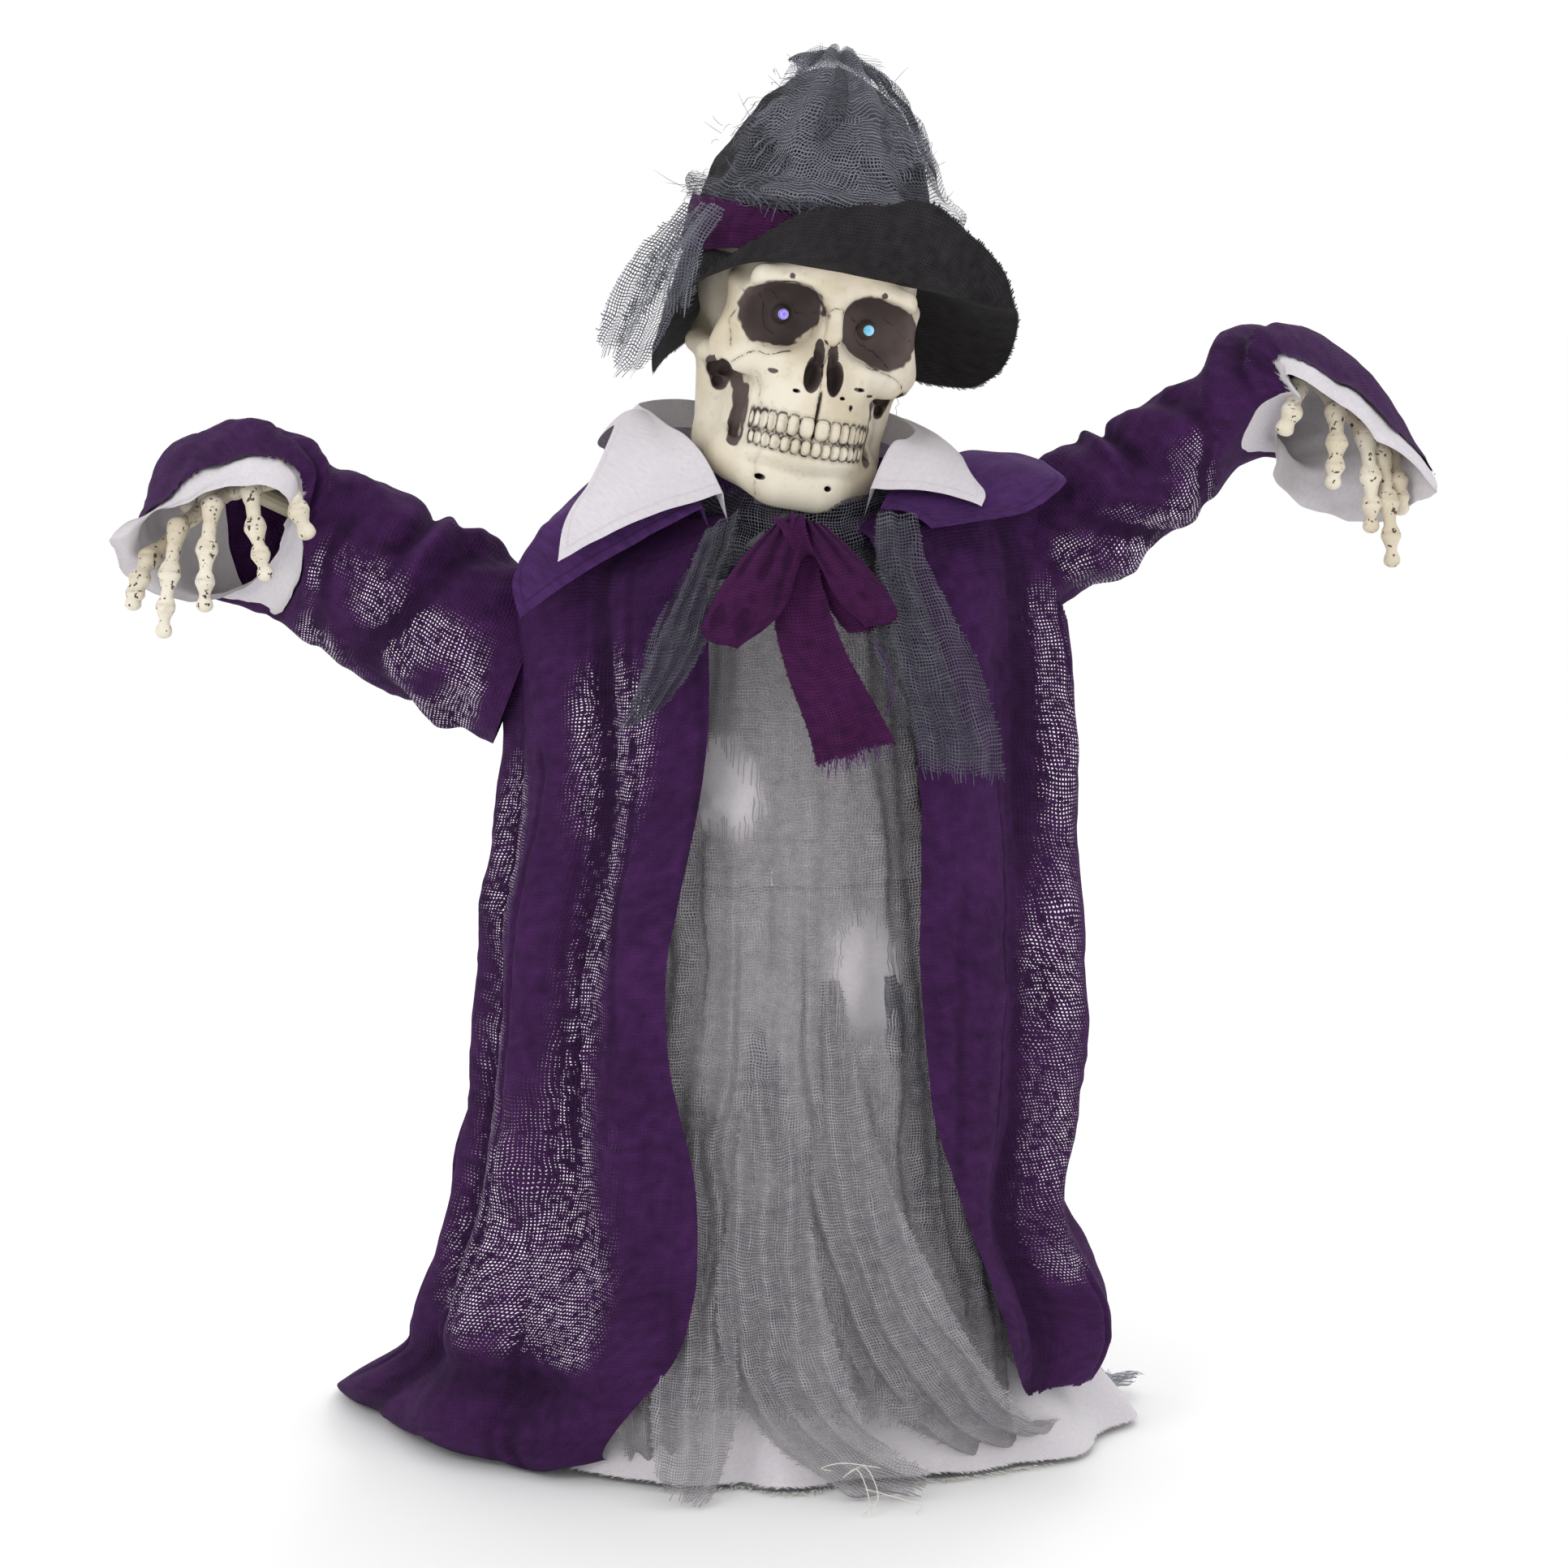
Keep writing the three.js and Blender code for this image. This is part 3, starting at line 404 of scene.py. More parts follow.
def cloth(name, points, look, body, slot, wrap=False, end=None, side=None, sheer=0.0, matrix=None,
          holes=None, crease=0.0, cut=None):
    """A sheet from a grid of points, rows down it and columns across, with UVs in metres of cloth,
    measured along the grid, or along cut, a smoother grid, where folds would make the weave swim."""
    rows, columns = points.shape[:2]
    along = points if cut is None else cut
    shut = np.concatenate([along, along[:, :1]], axis=1) if wrap else along
    across, down = lengths(shut, 1) * MM, lengths(shut, 0) * MM
    middle = shut.shape[1] // 2
    across = across - across[:, middle:middle + 1]
    uv = np.stack([across, down], axis=-1)
    i, j = np.mgrid[0:rows - 1, 0:shut.shape[1] - 1]
    k = (j + 1) % columns if wrap else j + 1
    quads = np.stack([i * columns + j, i * columns + k, (i + 1) * columns + k, (i + 1) * columns + j],
                     -1).reshape(-1, 4)
    corner = np.stack([uv[i, j], uv[i, j + 1], uv[i + 1, j + 1], uv[i + 1, j]], axis=-2).reshape(-1, 4, 2)
    if holes is not None:
        flat = holes.reshape(-1)
        keep = ~flat[quads].any(axis=1)
        quads, corner = quads[keep], corner[keep]
    CUTS[name] = (round(float(np.ptp(uv[..., 0], axis=1).max()), 3),
                  round(float(np.ptp(uv[..., 1], axis=0).max()), 3))
    uv = uv[:, :columns]
    length = uv[-1:, :, 1]
    ends = {None: np.ones((rows, columns)), "first": uv[..., 1], "last": length - uv[..., 1]}
    width = uv[:, -1:, 0] - uv[:, :1, 0]
    from_side = np.minimum(uv[..., 0] - uv[:, :1, 0], width - (uv[..., 0] - uv[:, :1, 0]))
    values = {"end": ends[end] if not isinstance(end, np.ndarray) else end,
              "side": from_side if side is True else 1.0, "sheer": sheer, "crease": crease}
    values = {key: np.broadcast_to(value, (rows, columns)).reshape(-1) for key, value in values.items()}
    obj = build(name, points, quads, look, body, slot, corner, values, matrix)
    used = np.unique(quads)
    if len(used) < rows * columns:
        drop_loose(obj)
    return obj


def declare(obj):
    """Looks up a sheet's flat size, that of its grid laid out flat, whose folds take up what its surface has
    more; nothing is done with it.
    """
    width, length = CUTS[obj.name]


def drop_loose(obj):
    """Removes the points that no face uses, where holes were left out."""
    b = bmesh.new()
    b.from_mesh(obj.data)
    bmesh.ops.delete(b, geom=[v for v in b.verts if not v.link_faces], context="VERTS")
    b.to_mesh(obj.data)
    b.free()


def strands(name, paths, radius, look, body, slot, matrix=None):
    """Loose threads as thin tubes; each path is a list of points."""
    points, quads, count = [], [], 0
    sides = 5
    for path in paths:
        path = np.asarray(path, float)
        ahead = np.gradient(path, axis=0)
        ahead /= np.linalg.norm(ahead, axis=1)[:, None] + 1e-9
        across = np.cross(ahead, [0.3, 0.9, 0.2])
        across /= np.linalg.norm(across, axis=1)[:, None] + 1e-9
        other = np.cross(ahead, across)
        n = len(path)
        size = radius * np.concatenate([np.ones(n - 1), [0.45]])[:, None]
        ring = [path + size * (across * math.cos(t) + other * math.sin(t))
                for t in 2 * math.pi * np.arange(sides) / sides]
        points.append(np.stack(ring, axis=1).reshape(-1, 3))
        i, j = np.mgrid[0:n - 1, 0:sides]
        k = (j + 1) % sides
        quads.append(np.stack([i * sides + j, i * sides + k, (i + 1) * sides + k, (i + 1) * sides + j],
                              -1).reshape(-1, 4) + count)
        count += n * sides
    return build(name, np.concatenate(points), np.concatenate(quads), look, body, slot, matrix=matrix)


# ---------------------------------------------------------------- solids from distance fields
class Field:
    """Signed distances on a grid, negative inside, to which shapes are added or cut."""

    def __init__(self, low, high, size):
        self.low, self.size = np.array(low, float), size
        shape = np.ceil((np.array(high) - self.low) / size).astype(int) + 1
        self.f = np.full(shape, 60, np.float32)

    def _window(self, low, high, margin):
        a = np.maximum(0, np.floor((np.array(low) - margin - self.low) / self.size).astype(int))
        b = np.maximum(a + 1, np.ceil((np.array(high) + margin - self.low) / self.size).astype(int) + 1)
        window = tuple(slice(i, j) for i, j in zip(a, b))
        grids = [self.low[k] + self.size * np.arange(self.f.shape[k])[window[k]] for k in range(3)]
        return window, np.meshgrid(*grids, indexing="ij", sparse=True)

    def add(self, shape, soft=1.0):
        window, xyz = self._window(shape[0], shape[1], soft + 6)
        a, b = self.f[window], shape[2](*xyz).astype(np.float32)
        h = np.maximum(soft - np.abs(a - b), 0) / soft
        self.f[window] = np.minimum(a, b) - h * h * soft / 4

    def cut(self, shape, soft=1.0):
        window, xyz = self._window(shape[0], shape[1], soft + 2)
        a, b = self.f[window], -shape[2](*xyz).astype(np.float32)
        h = np.maximum(soft - np.abs(a - b), 0) / soft
        self.f[window] = np.maximum(a, b) + h * h * soft / 4

    def hollowness(self, points, reach=5):
        """How far a point on the surface lies in a crease, from the distances round it."""
        g = np.clip(self.f, -7, 7)
        for _ in range(reach):
            for axis in range(3):
                g = (np.roll(g, 1, axis) + 2 * g + np.roll(g, -1, axis)) / 4
        q = (points - self.low) / self.size
        i = np.clip(np.floor(q).astype(int), 0, np.array(self.f.shape) - 2)
        f = q - i
        total = 0
        for corner in np.ndindex(2, 2, 2):
            weight = np.prod(np.where(corner, f, 1 - f), axis=-1)
            at = i + corner
            total = total + weight * g[at[:, 0], at[:, 1], at[:, 2]]
        return -total

    def surface(self):
        f = self.f
        inside = f < 0
        corners = np.array(list(np.ndindex(2, 2, 2)))
        n = np.array(f.shape) - 1
        count = sum(inside[c[0]:c[0] + n[0], c[1]:c[1] + n[1], c[2]:c[2] + n[2]].astype(np.int8)
                    for c in corners)
        cells = np.argwhere((count > 0) & (count < 8))
        value = np.stack([f[tuple((cells + c).T)] for c in corners], axis=1)
        total, hits = np.zeros((len(cells), 3)), np.zeros((len(cells), 1))
        for a in range(8):
            for b in range(a + 1, 8):
                if np.abs(corners[a] - corners[b]).sum() != 1:
                    continue
                va, vb = value[:, a], value[:, b]
                crossing = (va < 0) != (vb < 0)
                t = np.where(crossing, va / np.where(crossing, va - vb, 1), 0)[:, None]
                total += np.where(crossing[:, None], corners[a] + t * (corners[b] - corners[a]), 0)
                hits += crossing[:, None]
        points = self.low + self.size * (cells + total / hits)
        index = np.full(n, -1, np.int64)
        index[tuple(cells.T)] = np.arange(len(cells))
        quads = []
        for axis in range(3):
            b, c = np.eye(3, dtype=int)[(axis + 1) % 3], np.eye(3, dtype=int)[(axis + 2) % 3]
            here = np.take(inside, range(n[axis]), axis)
            there = np.take(inside, range(1, n[axis] + 1), axis)
            g = np.argwhere(here != there)
            g = g[((g > 0) | (np.arange(3) == axis)).all(axis=1) & (g < n).all(axis=1)]
            quad = np.stack([index[tuple((g - b - c).T)], index[tuple((g - c).T)], index[tuple(g.T)],
                             index[tuple((g - b).T)]], axis=1)
            flip = ~inside[tuple(g.T)]
            quad[flip] = quad[flip][:, ::-1]
            quads.append(quad)
        return points, np.concatenate(quads)


def egg(centre, radii, turned=0.0, power=2.0):
    """An ellipsoid, squarer for a higher power, turned about the axis through its front."""
    cx, cy, cz = centre
    rx, ry, rz = radii
    c, s = math.cos(math.radians(turned)), math.sin(math.radians(turned))
    reach = np.array([max(rx, rz) if turned else rx, ry, max(rx, rz) if turned else rz])

    def distance(x, y, z):
        dx, dy, dz = x - cx, y - cy, z - cz
        px, pz = (c * dx + s * dz) / rx, (c * dz - s * dx) / rz
        py = dy / ry
        if power != 2.0:
            k = (np.abs(px) ** power + np.abs(py) ** power + np.abs(pz) ** power) ** (1 / power)
            return (k - 1) * min(rx, ry, rz)
        k = np.sqrt(px * px + py * py + pz * pz)
        g = np.sqrt((px / rx) ** 2 + (py / ry) ** 2 + (pz / rz) ** 2)
        return k * (k - 1) / (g + 1e-6)

    return np.array(centre) - reach, np.array(centre) + reach, distance


def rod(a, b, ra, rb=None, flat=(1, 1, 1)):
    """A round-ended tapered rod from a to b; flat squashes its distances along each axis."""
    rb = ra if rb is None else rb
    a, b, flat = np.array(a, float), np.array(b, float), np.array(flat, float)
    d = (b - a) * flat
    span = (d * d).sum()

    def distance(x, y, z):
        p = [(x - a[0]) * flat[0], (y - a[1]) * flat[1], (z - a[2]) * flat[2]]
        t = np.clip((p[0] * d[0] + p[1] * d[1] + p[2] * d[2]) / span, 0, 1)
        away = np.sqrt(sum((p[k] - t * d[k]) ** 2 for k in range(3)))
        return away - (ra + (rb - ra) * t)

    reach = max(ra, rb) / flat
    return np.minimum(a, b) - reach, np.maximum(a, b) + reach, distance


# ---------------------------------------------------------------- skull
UPPER_GAPS = (0, 9.8, 17.2, 23.6, 28.6, 32.6, 35.6, 37.8)
LOWER_GAPS = (0, 6.6, 13.0, 19.4, 25.4, 30.2, 34.0, 36.8)
BITE, UPPER_GUM, LOWER_GUM = 55.2, 69.5, 44.5


def arch(x):
    """How far forward the row of teeth stands."""
    return -57 - 41 * np.sqrt(np.maximum(0.02, 1 - (x / 38.6) ** 2))


def teeth():
    """(middle x, middle z, half width, half height) of every tooth."""
    rows = []
    for gaps, low, high in ((UPPER_GAPS, BITE, UPPER_GUM), (LOWER_GAPS, LOWER_GUM, BITE - 0.6)):
        for s in (-1, 1):
            for i, (a, b) in enumerate(zip(gaps, gaps[1:])):
                back = (i / 6) ** 2
                top = high - (0.5 + 1.6 * back if high > BITE else 0)
                base = low + (1.6 * back if low < BITE - 1 else 0.7 * back)
                rows.append((s * (a + b) / 2, (base + top) / 2, (b - a) / 2, (top - base) / 2))
    return rows


SOCKET = {-1: ((-30.5, 128), (26, 20.5), 10), 1: ((33.5, 127), (27.5, 21), -12)}
CRACKS = [  # painted lines on the front, as x and z, with half their width
    (0.5, [(4, 118), (1, 111), (-1, 103), (-2, 91), (-1.5, 82), (-0.5, 69)]),
    (0.35, [(-19, 130), (-11, 131), (-6, 134), (-2, 137.5), (3, 138), (8, 136), (13, 135)]),
    (0.25, [(-4.5, 133), (-7, 126), (-9, 118)]),
    (0.3, [(4, 137), (5.5, 131)]),
    (0.45, [(-22, 107), (-28, 105.5), (-33, 103), (-37, 102), (-42, 103), (-46, 101), (-51, 97), (-55, 93)]),
    (0.45, [(27, 106), (32, 104.5), (37, 105), (45, 102.5), (50, 101), (55, 98), (58, 93), (59, 89)]),
    (0.4, [(-56, 139), (-53, 136), (-51, 134), (-48, 135)]),
    (0.35, [(-57, 127), (-60, 119), (-58, 111), (-57, 103)]),
    (0.35, [(58, 132), (64, 130.5), (70, 130)]),
    (0.25, [(-38, 87), (-35, 82), (-34.5, 74), (-31, 66)]),
    (0.25, [(-29, 43), (-30, 35), (-29, 27), (-28, 20), (-25, 14)]),
    (0.5, [(-45, 138), (-41, 133), (-39, 129), (-38.5, 123), (-36, 118), (-31, 115)]),
    (0.4, [(-43, 141), (-36, 140), (-29, 135), (-22, 135.5), (-17, 129)]),
    (0.5, [(16, 134), (22, 131), (20, 124), (25, 119), (35, 115.5), (41, 111), (44, 107)]),
    (0.4, [(38, 137), (46, 133), (50, 128), (57, 126)]),
]
PITS = [(-31, 93, 3.2, 1.7), (-15.5, 83.5, 2.6, 1.3), (14, 84, 2.2, 1.2), (25, 91, 4.2, 1.5),
        (21, 79, 1.6, 2.2),
        (-26, 26.5, 3, 2), (17, 26.5, 2.6, 1.8), (-30, 152.5, 2.0, 2.0), (30.5, 151, 2.0, 2.0),
        (34, 88, 3, 1)]


def to_line(x, z, line):
    """Distance from each point to a broken line."""
    best = np.full(x.shape, 99.0)
    for (ax, az), (bx, bz) in zip(line, line[1:]):
        dx, dz = bx - ax, bz - az
        t = np.clip(((x - ax) * dx + (z - az) * dz) / (dx * dx + dz * dz), 0, 1)
        best = np.minimum(best, np.hypot(x - ax - t * dx, z - az - t * dz))
    return best


def socket_edge(x, z, s):
    """Negative inside the eye socket's rounded, slanting outline."""
    (cx, cz), (rx, rz), slant = SOCKET[s]
    c, q = math.cos(math.radians(slant)), math.sin(math.radians(slant))
    px, pz = (c * (x - cx) + q * (z - cz)) / rx, (c * (z - cz) - q * (x - cx)) / rz
    inner = 0.16 * np.maximum(0, -s * px) * np.maximum(0, -pz)
    return ((np.abs(px) ** 2.5 + np.abs(pz) ** 2.5) ** 0.4 - 1 + inner * 2) * 22


def skull_field(size):
    field = Field((-82, -112, 4), (82, 104, 234), size)
    for shape, soft in (
        (egg((0, 5, 151), (70, 89, 75)), 1),
        (egg((0, -38, 160), (55, 50, 38)), 12),
        (egg((0, -50, 128), (63, 36, 30), power=2.6), 8),
        (rod((-46, -80, 149), (46, -80, 149), 7.5), 10),
        (rod((0, -84, 146), (0, -98, 121), 8, 6.5), 8),
        (egg((0, -62, 84), (38, 37, 34), power=2.3), 10),
        (egg((0, -30, 62), (52, 52, 44)), 10),
    ):
        field.add(shape, soft)
    for s in (-1, 1):
        for shape, soft in (
            (rod((s * 26, -79, 100), (s * 50, -62, 97), 10, 11), 9),
            (rod((s * 50, -62, 97), (s * 63, -34, 96), 11, 6.5), 7),
            (rod((s * 63, -34, 96), (s * 66, -4, 100), 6, 5.5), 5),
            (rod((s * 66, -4, 100), (s * 58, 20, 108), 5.5, 8), 8),
            (egg((s * 44, -16, 92), (15, 30, 26)), 8),
            (rod((s * 59, -56, 104), (s * 60, -52, 140), 8.5, 7), 8),
            (rod((s * 16, -73, 27), (s * 40, -55, 36), 17, 15), 10),
            (rod((s * 38, -55, 36), (s * 49, -26, 43), 15, 12), 8),
            (rod((s * 51, -24, 42), (s * 60, -16, 94), 10, 7.5, flat=(1.15, 0.62, 1)), 7),
        ):
            field.add(shape, soft)
    field.add(egg((0, -76, 27), (25, 17, 17)), 9)
    field.add(rod((-12, -84, 19), (12, -84, 19), 7), 8)
    # the ridge that the teeth stand on
    gums = np.linspace(-36, 36, 15)
    for x, y in zip(gums, arch(gums) + 9):
        field.add(rod((x, y, 43), (x, y, 74), 7.5), 5)
    for s in (-1, 1):
        field.cut(egg((s * 86, -46, 130), (25, 30, 24)), 10)          # temple
        field.cut(egg((s * 25, -104, 90), (12, 9, 10)), 8)             # hollow beside the nose
        field.cut(egg((s * 7.2, -99, 95), (5.2, 17, 10.5), 6 * s), 2)   # nose
        field.cut(egg((s * 4.6, -101, 106), (3.4, 15, 11), -10 * s), 2)
        field.cut(rod((s * 44, -66, 82), (s * 42.5, -62, 50), 4.2, 3.6, flat=(1, 0.4, 1)), 3)
        for dx, dz, r in ((56, 91, 4.5), (50, 86, 3.6), (53, 78, 3), (57, 86, 4)):
            field.cut(rod((s * dx, -66, dz), (s * dx, -30, dz), r), 3)
        (cx, cz), (rx, rz), slant = SOCKET[s]
        field.cut(egg((cx, -87, cz), (rx, 24, rz), slant, power=2.4), 5)
        field.add(egg((s * 28, -66, 128), (5.4, 6, 5.4)), 4)          # boss round the lamp
    field.cut(egg((0, -97, 70), (1.0, 9, 16)), 2)
    for x, z, a, c in teeth():
        lean = math.degrees(math.atan2(-arch(x + 0.5) + arch(x - 0.5), 1))
        field.add(tooth((x, arch(x) + 2.2, z), (a - 0.15, 4.6, c), -lean), 0.7)
    for x, z, a, c in PITS:
        y = -92 + (x / 60) ** 2 * 60
        field.cut(egg((x, y, z), (a, 9, c)), 1.2)
    field.cut(egg((0, 2, 42), (40, 44, 62)), 3)                        # open throat
    field.cut(rod((0, 0, -20), (0, 0, 70), 36), 3)
    return field


def tooth(centre, radii, lean):
    """A rounded block turned to follow the row of teeth."""
    cx, cy, cz = centre
    c, s = math.cos(math.radians(lean)), math.sin(math.radians(lean))
    wide = radii[0] / max(0.35, abs(c))

    def distance(x, y, z):
        px, pz = (c * (x - cx) + s * (y - cy)) / wide, (z - cz) / radii[2]
        py = (c * (y - cy) - s * (x - cx)) / radii[1]
        k = (np.abs(px) ** 2.8 + np.abs(py) ** 2.8 + np.abs(pz) ** 2.8) ** (1 / 2.8)
        return (k - 1) * min(wide, *radii)

    reach = np.array([wide + 3, wide + 3, radii[2]])
    return np.array(centre) - reach, np.array(centre) + reach, distance


def skull():
    """The skull in one fine mesh, with its painted lines, sockets and hollows as attributes."""
    field = skull_field(SKULL_GRID)
    points, quads = field.surface()
    x, y, z = points.T
    front = smooth(-25, -40, y)
    crack = np.full(x.shape, 9.0)
    wobble = 0.5 * noise(points, 4.0) + 0.3 * noise(points, 1.8, 4)
    for half, line in CRACKS:
        crack = np.minimum(crack, to_line(x + wobble, z + wobble, line) - half + 0.5)
    arched = np.full(x.shape, 9.0)
    for cx, cz, a, c in teeth():
        k = (np.abs((x - cx) / a) ** 2.8 + np.abs((z - cz) / c) ** 2.8) ** (1 / 2.8)
        arched = np.minimum(arched, np.abs(k - 1) * min(a, c) + 9 * (np.abs(k - 1) > 0.5))
    on_teeth = (np.abs(x) < 39) & (y < arch(np.clip(x, -38, 38)) + 6)
    crack = np.where(on_teeth, np.minimum(crack, arched + 0.05), crack)
    dark = np.zeros(x.shape)
    for s in (-1, 1):
        ragged = socket_edge(x, z, s) + 1.6 * noise(points, 8, 21) + 0.9 * noise(points, 3.5, 22)
        dark = np.maximum(dark, smooth(2.2, -2.2, ragged) * (y < -50))
        nose = np.minimum(np.hypot((x - s * 7.2) / 5.4, (z - 95) / 11),
                          np.hypot((x - s * 4.6) / 3.4, (z - 107) / 10.5))
        dark = np.maximum(dark, smooth(1.12, 0.92, nose) * (y < -60))
        slot = to_line(x, z, [(s * 45, 84), (s * 42.5, 76), (s * 42, 50), (s * 44, 45)])
        slot = slot + 1.2 * noise(points, 5)
        strength = 1.0 if s < 0 else 0.62
        dark = np.maximum(dark, strength * smooth(4.6, 2.2, slot) * (y < -28))
        fork = to_line(x, z, [(s * 61, 92), (s * 51, 87), (s * 53, 77), (s * 57, 86)])
        dark = np.maximum(dark, smooth(5.4, 3.2, fork) * (y > -62) * (y < -12))
    for px, pz, a, c in PITS:
        dark = np.maximum(dark, 0.9 * smooth(1.25, 0.7, np.hypot((x - px) / a, (z - pz) / c)) * (y < -40))
    # cave: how deep in a hollow each point lies, darkened by the bone paint as painted shade
    cave = np.clip(field.hollowness(points, 5) * 0.75, 0, 1)
    obj = build("skull", points, quads, BONE, "head", "bone_plastic",
                values={"crack": np.where(front > 0, crack + 9 * (1 - front), 9), "dark": dark,
                        "cave": cave}, matrix=HEAD)
    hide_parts("skull_front", "skull_back")


def lamp_material(name, colour, glow):
    def make():
        sparkle = wave(objects(), 700.0, 1)
        # painted reflection: towards the dome's rim, its colour and glow turn near white
        rim_glint = node("LayerWeight", 1, {}, Blend=0.35)
        return dict(Base_Color=blend(rim_glint, colour, srgb(245, 250, 255)), Roughness=0.12 + sparkle * 0.05,
                    Emission_Color=blend(rim_glint, glow, srgb(225, 235, 255)), Emission_Strength=0.55,
                    Coat_Weight=0.8)
    return material(name, make)


def eyes():
    """A clear domed lamp with a rim in each socket, over the frame's lamp."""
    for side, s, colour, glow in (("right", -1, srgb(88, 52, 190), srgb(96, 60, 215)),
                                  ("left", 1, srgb(30, 150, 190), srgb(40, 190, 225))):
        ring, rows = 28, []
        profile = [(2.6, -52), (3.0, -66), (3.7, -71.5), (3.9, -73), (3.2, -73.2), (2.7, -73.4),
                   (2.5, -75.0), (1.9, -76.2), (1.0, -76.9), (0.05, -77.1)]
        for radius, y in profile:
            t = 2 * math.pi * np.arange(ring) / ring
            size = LENS_SIZE * radius
            rows.append(np.stack([s * 28 + size * np.cos(t), np.full(ring, float(y)),
                                  128 + size * np.sin(t)], -1))
        lens = cloth(f"eye_lens_{side}", np.array(rows), lamp_material(f"lamp_{side}", colour, glow), "head",
                     "lamp", wrap=True, matrix=HEAD)
        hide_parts(f"eye_led_{side}")


# ---------------------------------------------------------------- hands
HAND = {  # thumb first: each digit's knuckle and tip, from the wrist, drawn for the figure's left side
    "left": [((-10, -50, -17), (-20, -68, -42)), ((15, -52, -32), (11, -72, -76)),
             ((35, -50, -48), (36, -72, -104)),
             ((45, -50, -60), (50, -72, -126)), ((53, -38, -62), (58, -54, -94))],
    "right": [((-46, -56, 4), (-57, -74, -28)), ((-20, -60, -2), (-31, -80, -54)),
              ((5, -60, -11), (8, -82, -74)),
              ((28, -58, -26), (35, -80, -91)), ((48, -52, -46), (56, -70, -74))],
}
BONES = (0.44, 0.32, 0.24)


def digit(knuckle, tip, count=3):
    """The joints along a digit, which curls forwards a little at the middle."""
    knuckle, tip = np.array(knuckle, float), np.array(tip, float)
    shares = np.cumsum((0,) + BONES[:count]) / sum(BONES[:count])
    return [mix(knuckle, tip, k) + np.array([0, -9 * math.sin(math.pi * k), 0]) for k in shares]


def bone_between(field, a, b, radius):
    """A finger bone: a slim waist, a wide knobbed base and a smaller double head."""
    a, b = np.array(a, float), np.array(b, float)
    field.add(rod(a, b, radius * 0.74, radius * 0.62), 2)
    field.add(rod(a, mix(a, b, 0.16), radius * 1.06, radius * 0.86), 2.5)
    across = np.cross(b - a, [0, 1, 0.2])
    across = across / (np.linalg.norm(across) + 1e-6) * radius * 0.34
    for s in (-1, 1):
        field.add(rod(mix(a, b, 0.86) + s * across, b + s * across, radius * 0.6, radius * 0.68), 1.6)


def hand(side):
    """A skeleton hand hanging from the wrist, with all its digits in one piece."""
    s = SIDES[side]
    field = Field((-64, -108, -150), (84, 18, 22), HAND_GRID)
    field.add(egg((0, 0, 0), (9, 10, 9)), 1)
    field.add(rod((0, -4, 0), (12, -24, -8), 10, 9, flat=(1, 1, 1.2)), 4)
    field.add(rod((2, -12, -2), (24, -26, -14), 9, 8, flat=(1, 1, 1.2)), 4)
    joints = []
    for i, (knuckle, tip) in enumerate(HAND[side]):
        places = digit(knuckle, tip, 2 if i == 0 else 3)
        joints += places[:-1]
        bone_between(field, (3 + knuckle[0] * 0.35, -22, -4 + knuckle[2] * 0.3), knuckle, 6.2)
        for k, (start, stop) in enumerate(zip(places, places[1:])):
            ahead = (stop - start) / np.linalg.norm(stop - start)
            bone_between(field, start + 0.8 * ahead, stop, (6.9, 6.1, 5.2)[k])
        field.add(egg(places[-1], (4.9, 4.2, 4.6)), 1.5)
    points, quads = field.surface()
    # cave: how deep in a hollow each point lies, darkened by the bone paint as painted shade
    cave = np.clip(field.hollowness(points, 3) * 0.9, 0, 1)
    crack = np.full(len(points), 9.0)
    for centre in joints:
        away = np.abs((points - centre) @ np.array([0, 0.2, 0.98]) - 1.2) + 0.45 + 0.5 * noise(points, 5)
        crack = np.minimum(crack, np.where(np.linalg.norm(points - centre, axis=1) < 9, away, 9))
    if s < 0:
        points = points * np.array([-1, 1, 1])
        quads = quads[:, ::-1]
    wrist = placed(ARM[side], [s * ARM_LENGTH, ARM_BACK, 0])
    obj = build(f"hand_bones_{side}", points, quads, FINGER, f"{side}_arm", "bone_plastic",
                values={"crack": crack, "dark": 0.0, "cave": cave}, matrix=move(*wrist))
    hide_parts(f"hand_{side}")


# ---------------------------------------------------------------- coat
TILT_FROM, TILT_TO = 330, 560  # between these heights the cloth turns with the shoulders
LEFT_WALL = [(0, 300), (25, 282), (60, 258), (97, 244), (130, 232), (230, 211), (343, 201), (476, 195),
             (560, 188), (640, 176)]
RIGHT_WALL = [(0, 212), (40, 200), (70, 214), (97, 216), (125, 204), (150, 190), (230, 195), (293, 200),
              (345, 196), (403, 187), (500, 183), (568, 183), (640, 172)]
FRONT_WALL = [(0, 142), (100, 136), (250, 122), (420, 108), (560, 98), (640, 90)]
BACK_WALL = [(0, 158), (60, 156), (100, 148), (250, 122), (420, 106), (560, 96), (640, 88)]
LEFT_OPENING = [(0, -124), (30, -118), (60, -96), (90, -72), (134, -58), (200, -57), (292, -75), (419, -68),
                (475, -60), (560, -48), (640, -40)]
RIGHT_OPENING = [(40, 176), (80, 152), (134, 134), (159, 124), (239, 97), (345, 85), (449, 77), (557, 70),
                 (640, 58)]
COAT_Y = 10
SPREAD = [  # where the hem lies at each angle on the figure's right, as x, y, z
    (180, 0, 166, 2), (215, -150, 160, 2), (240, -240, 148, 2), (258, -292, 126, 2), (272, -314, 96, 2),
    (284, -286, 46, 2), (298, -236, -10, 2), (312, -192, -58, 2), (324, -156, -84, 3), (336, -112, -84, 13)]


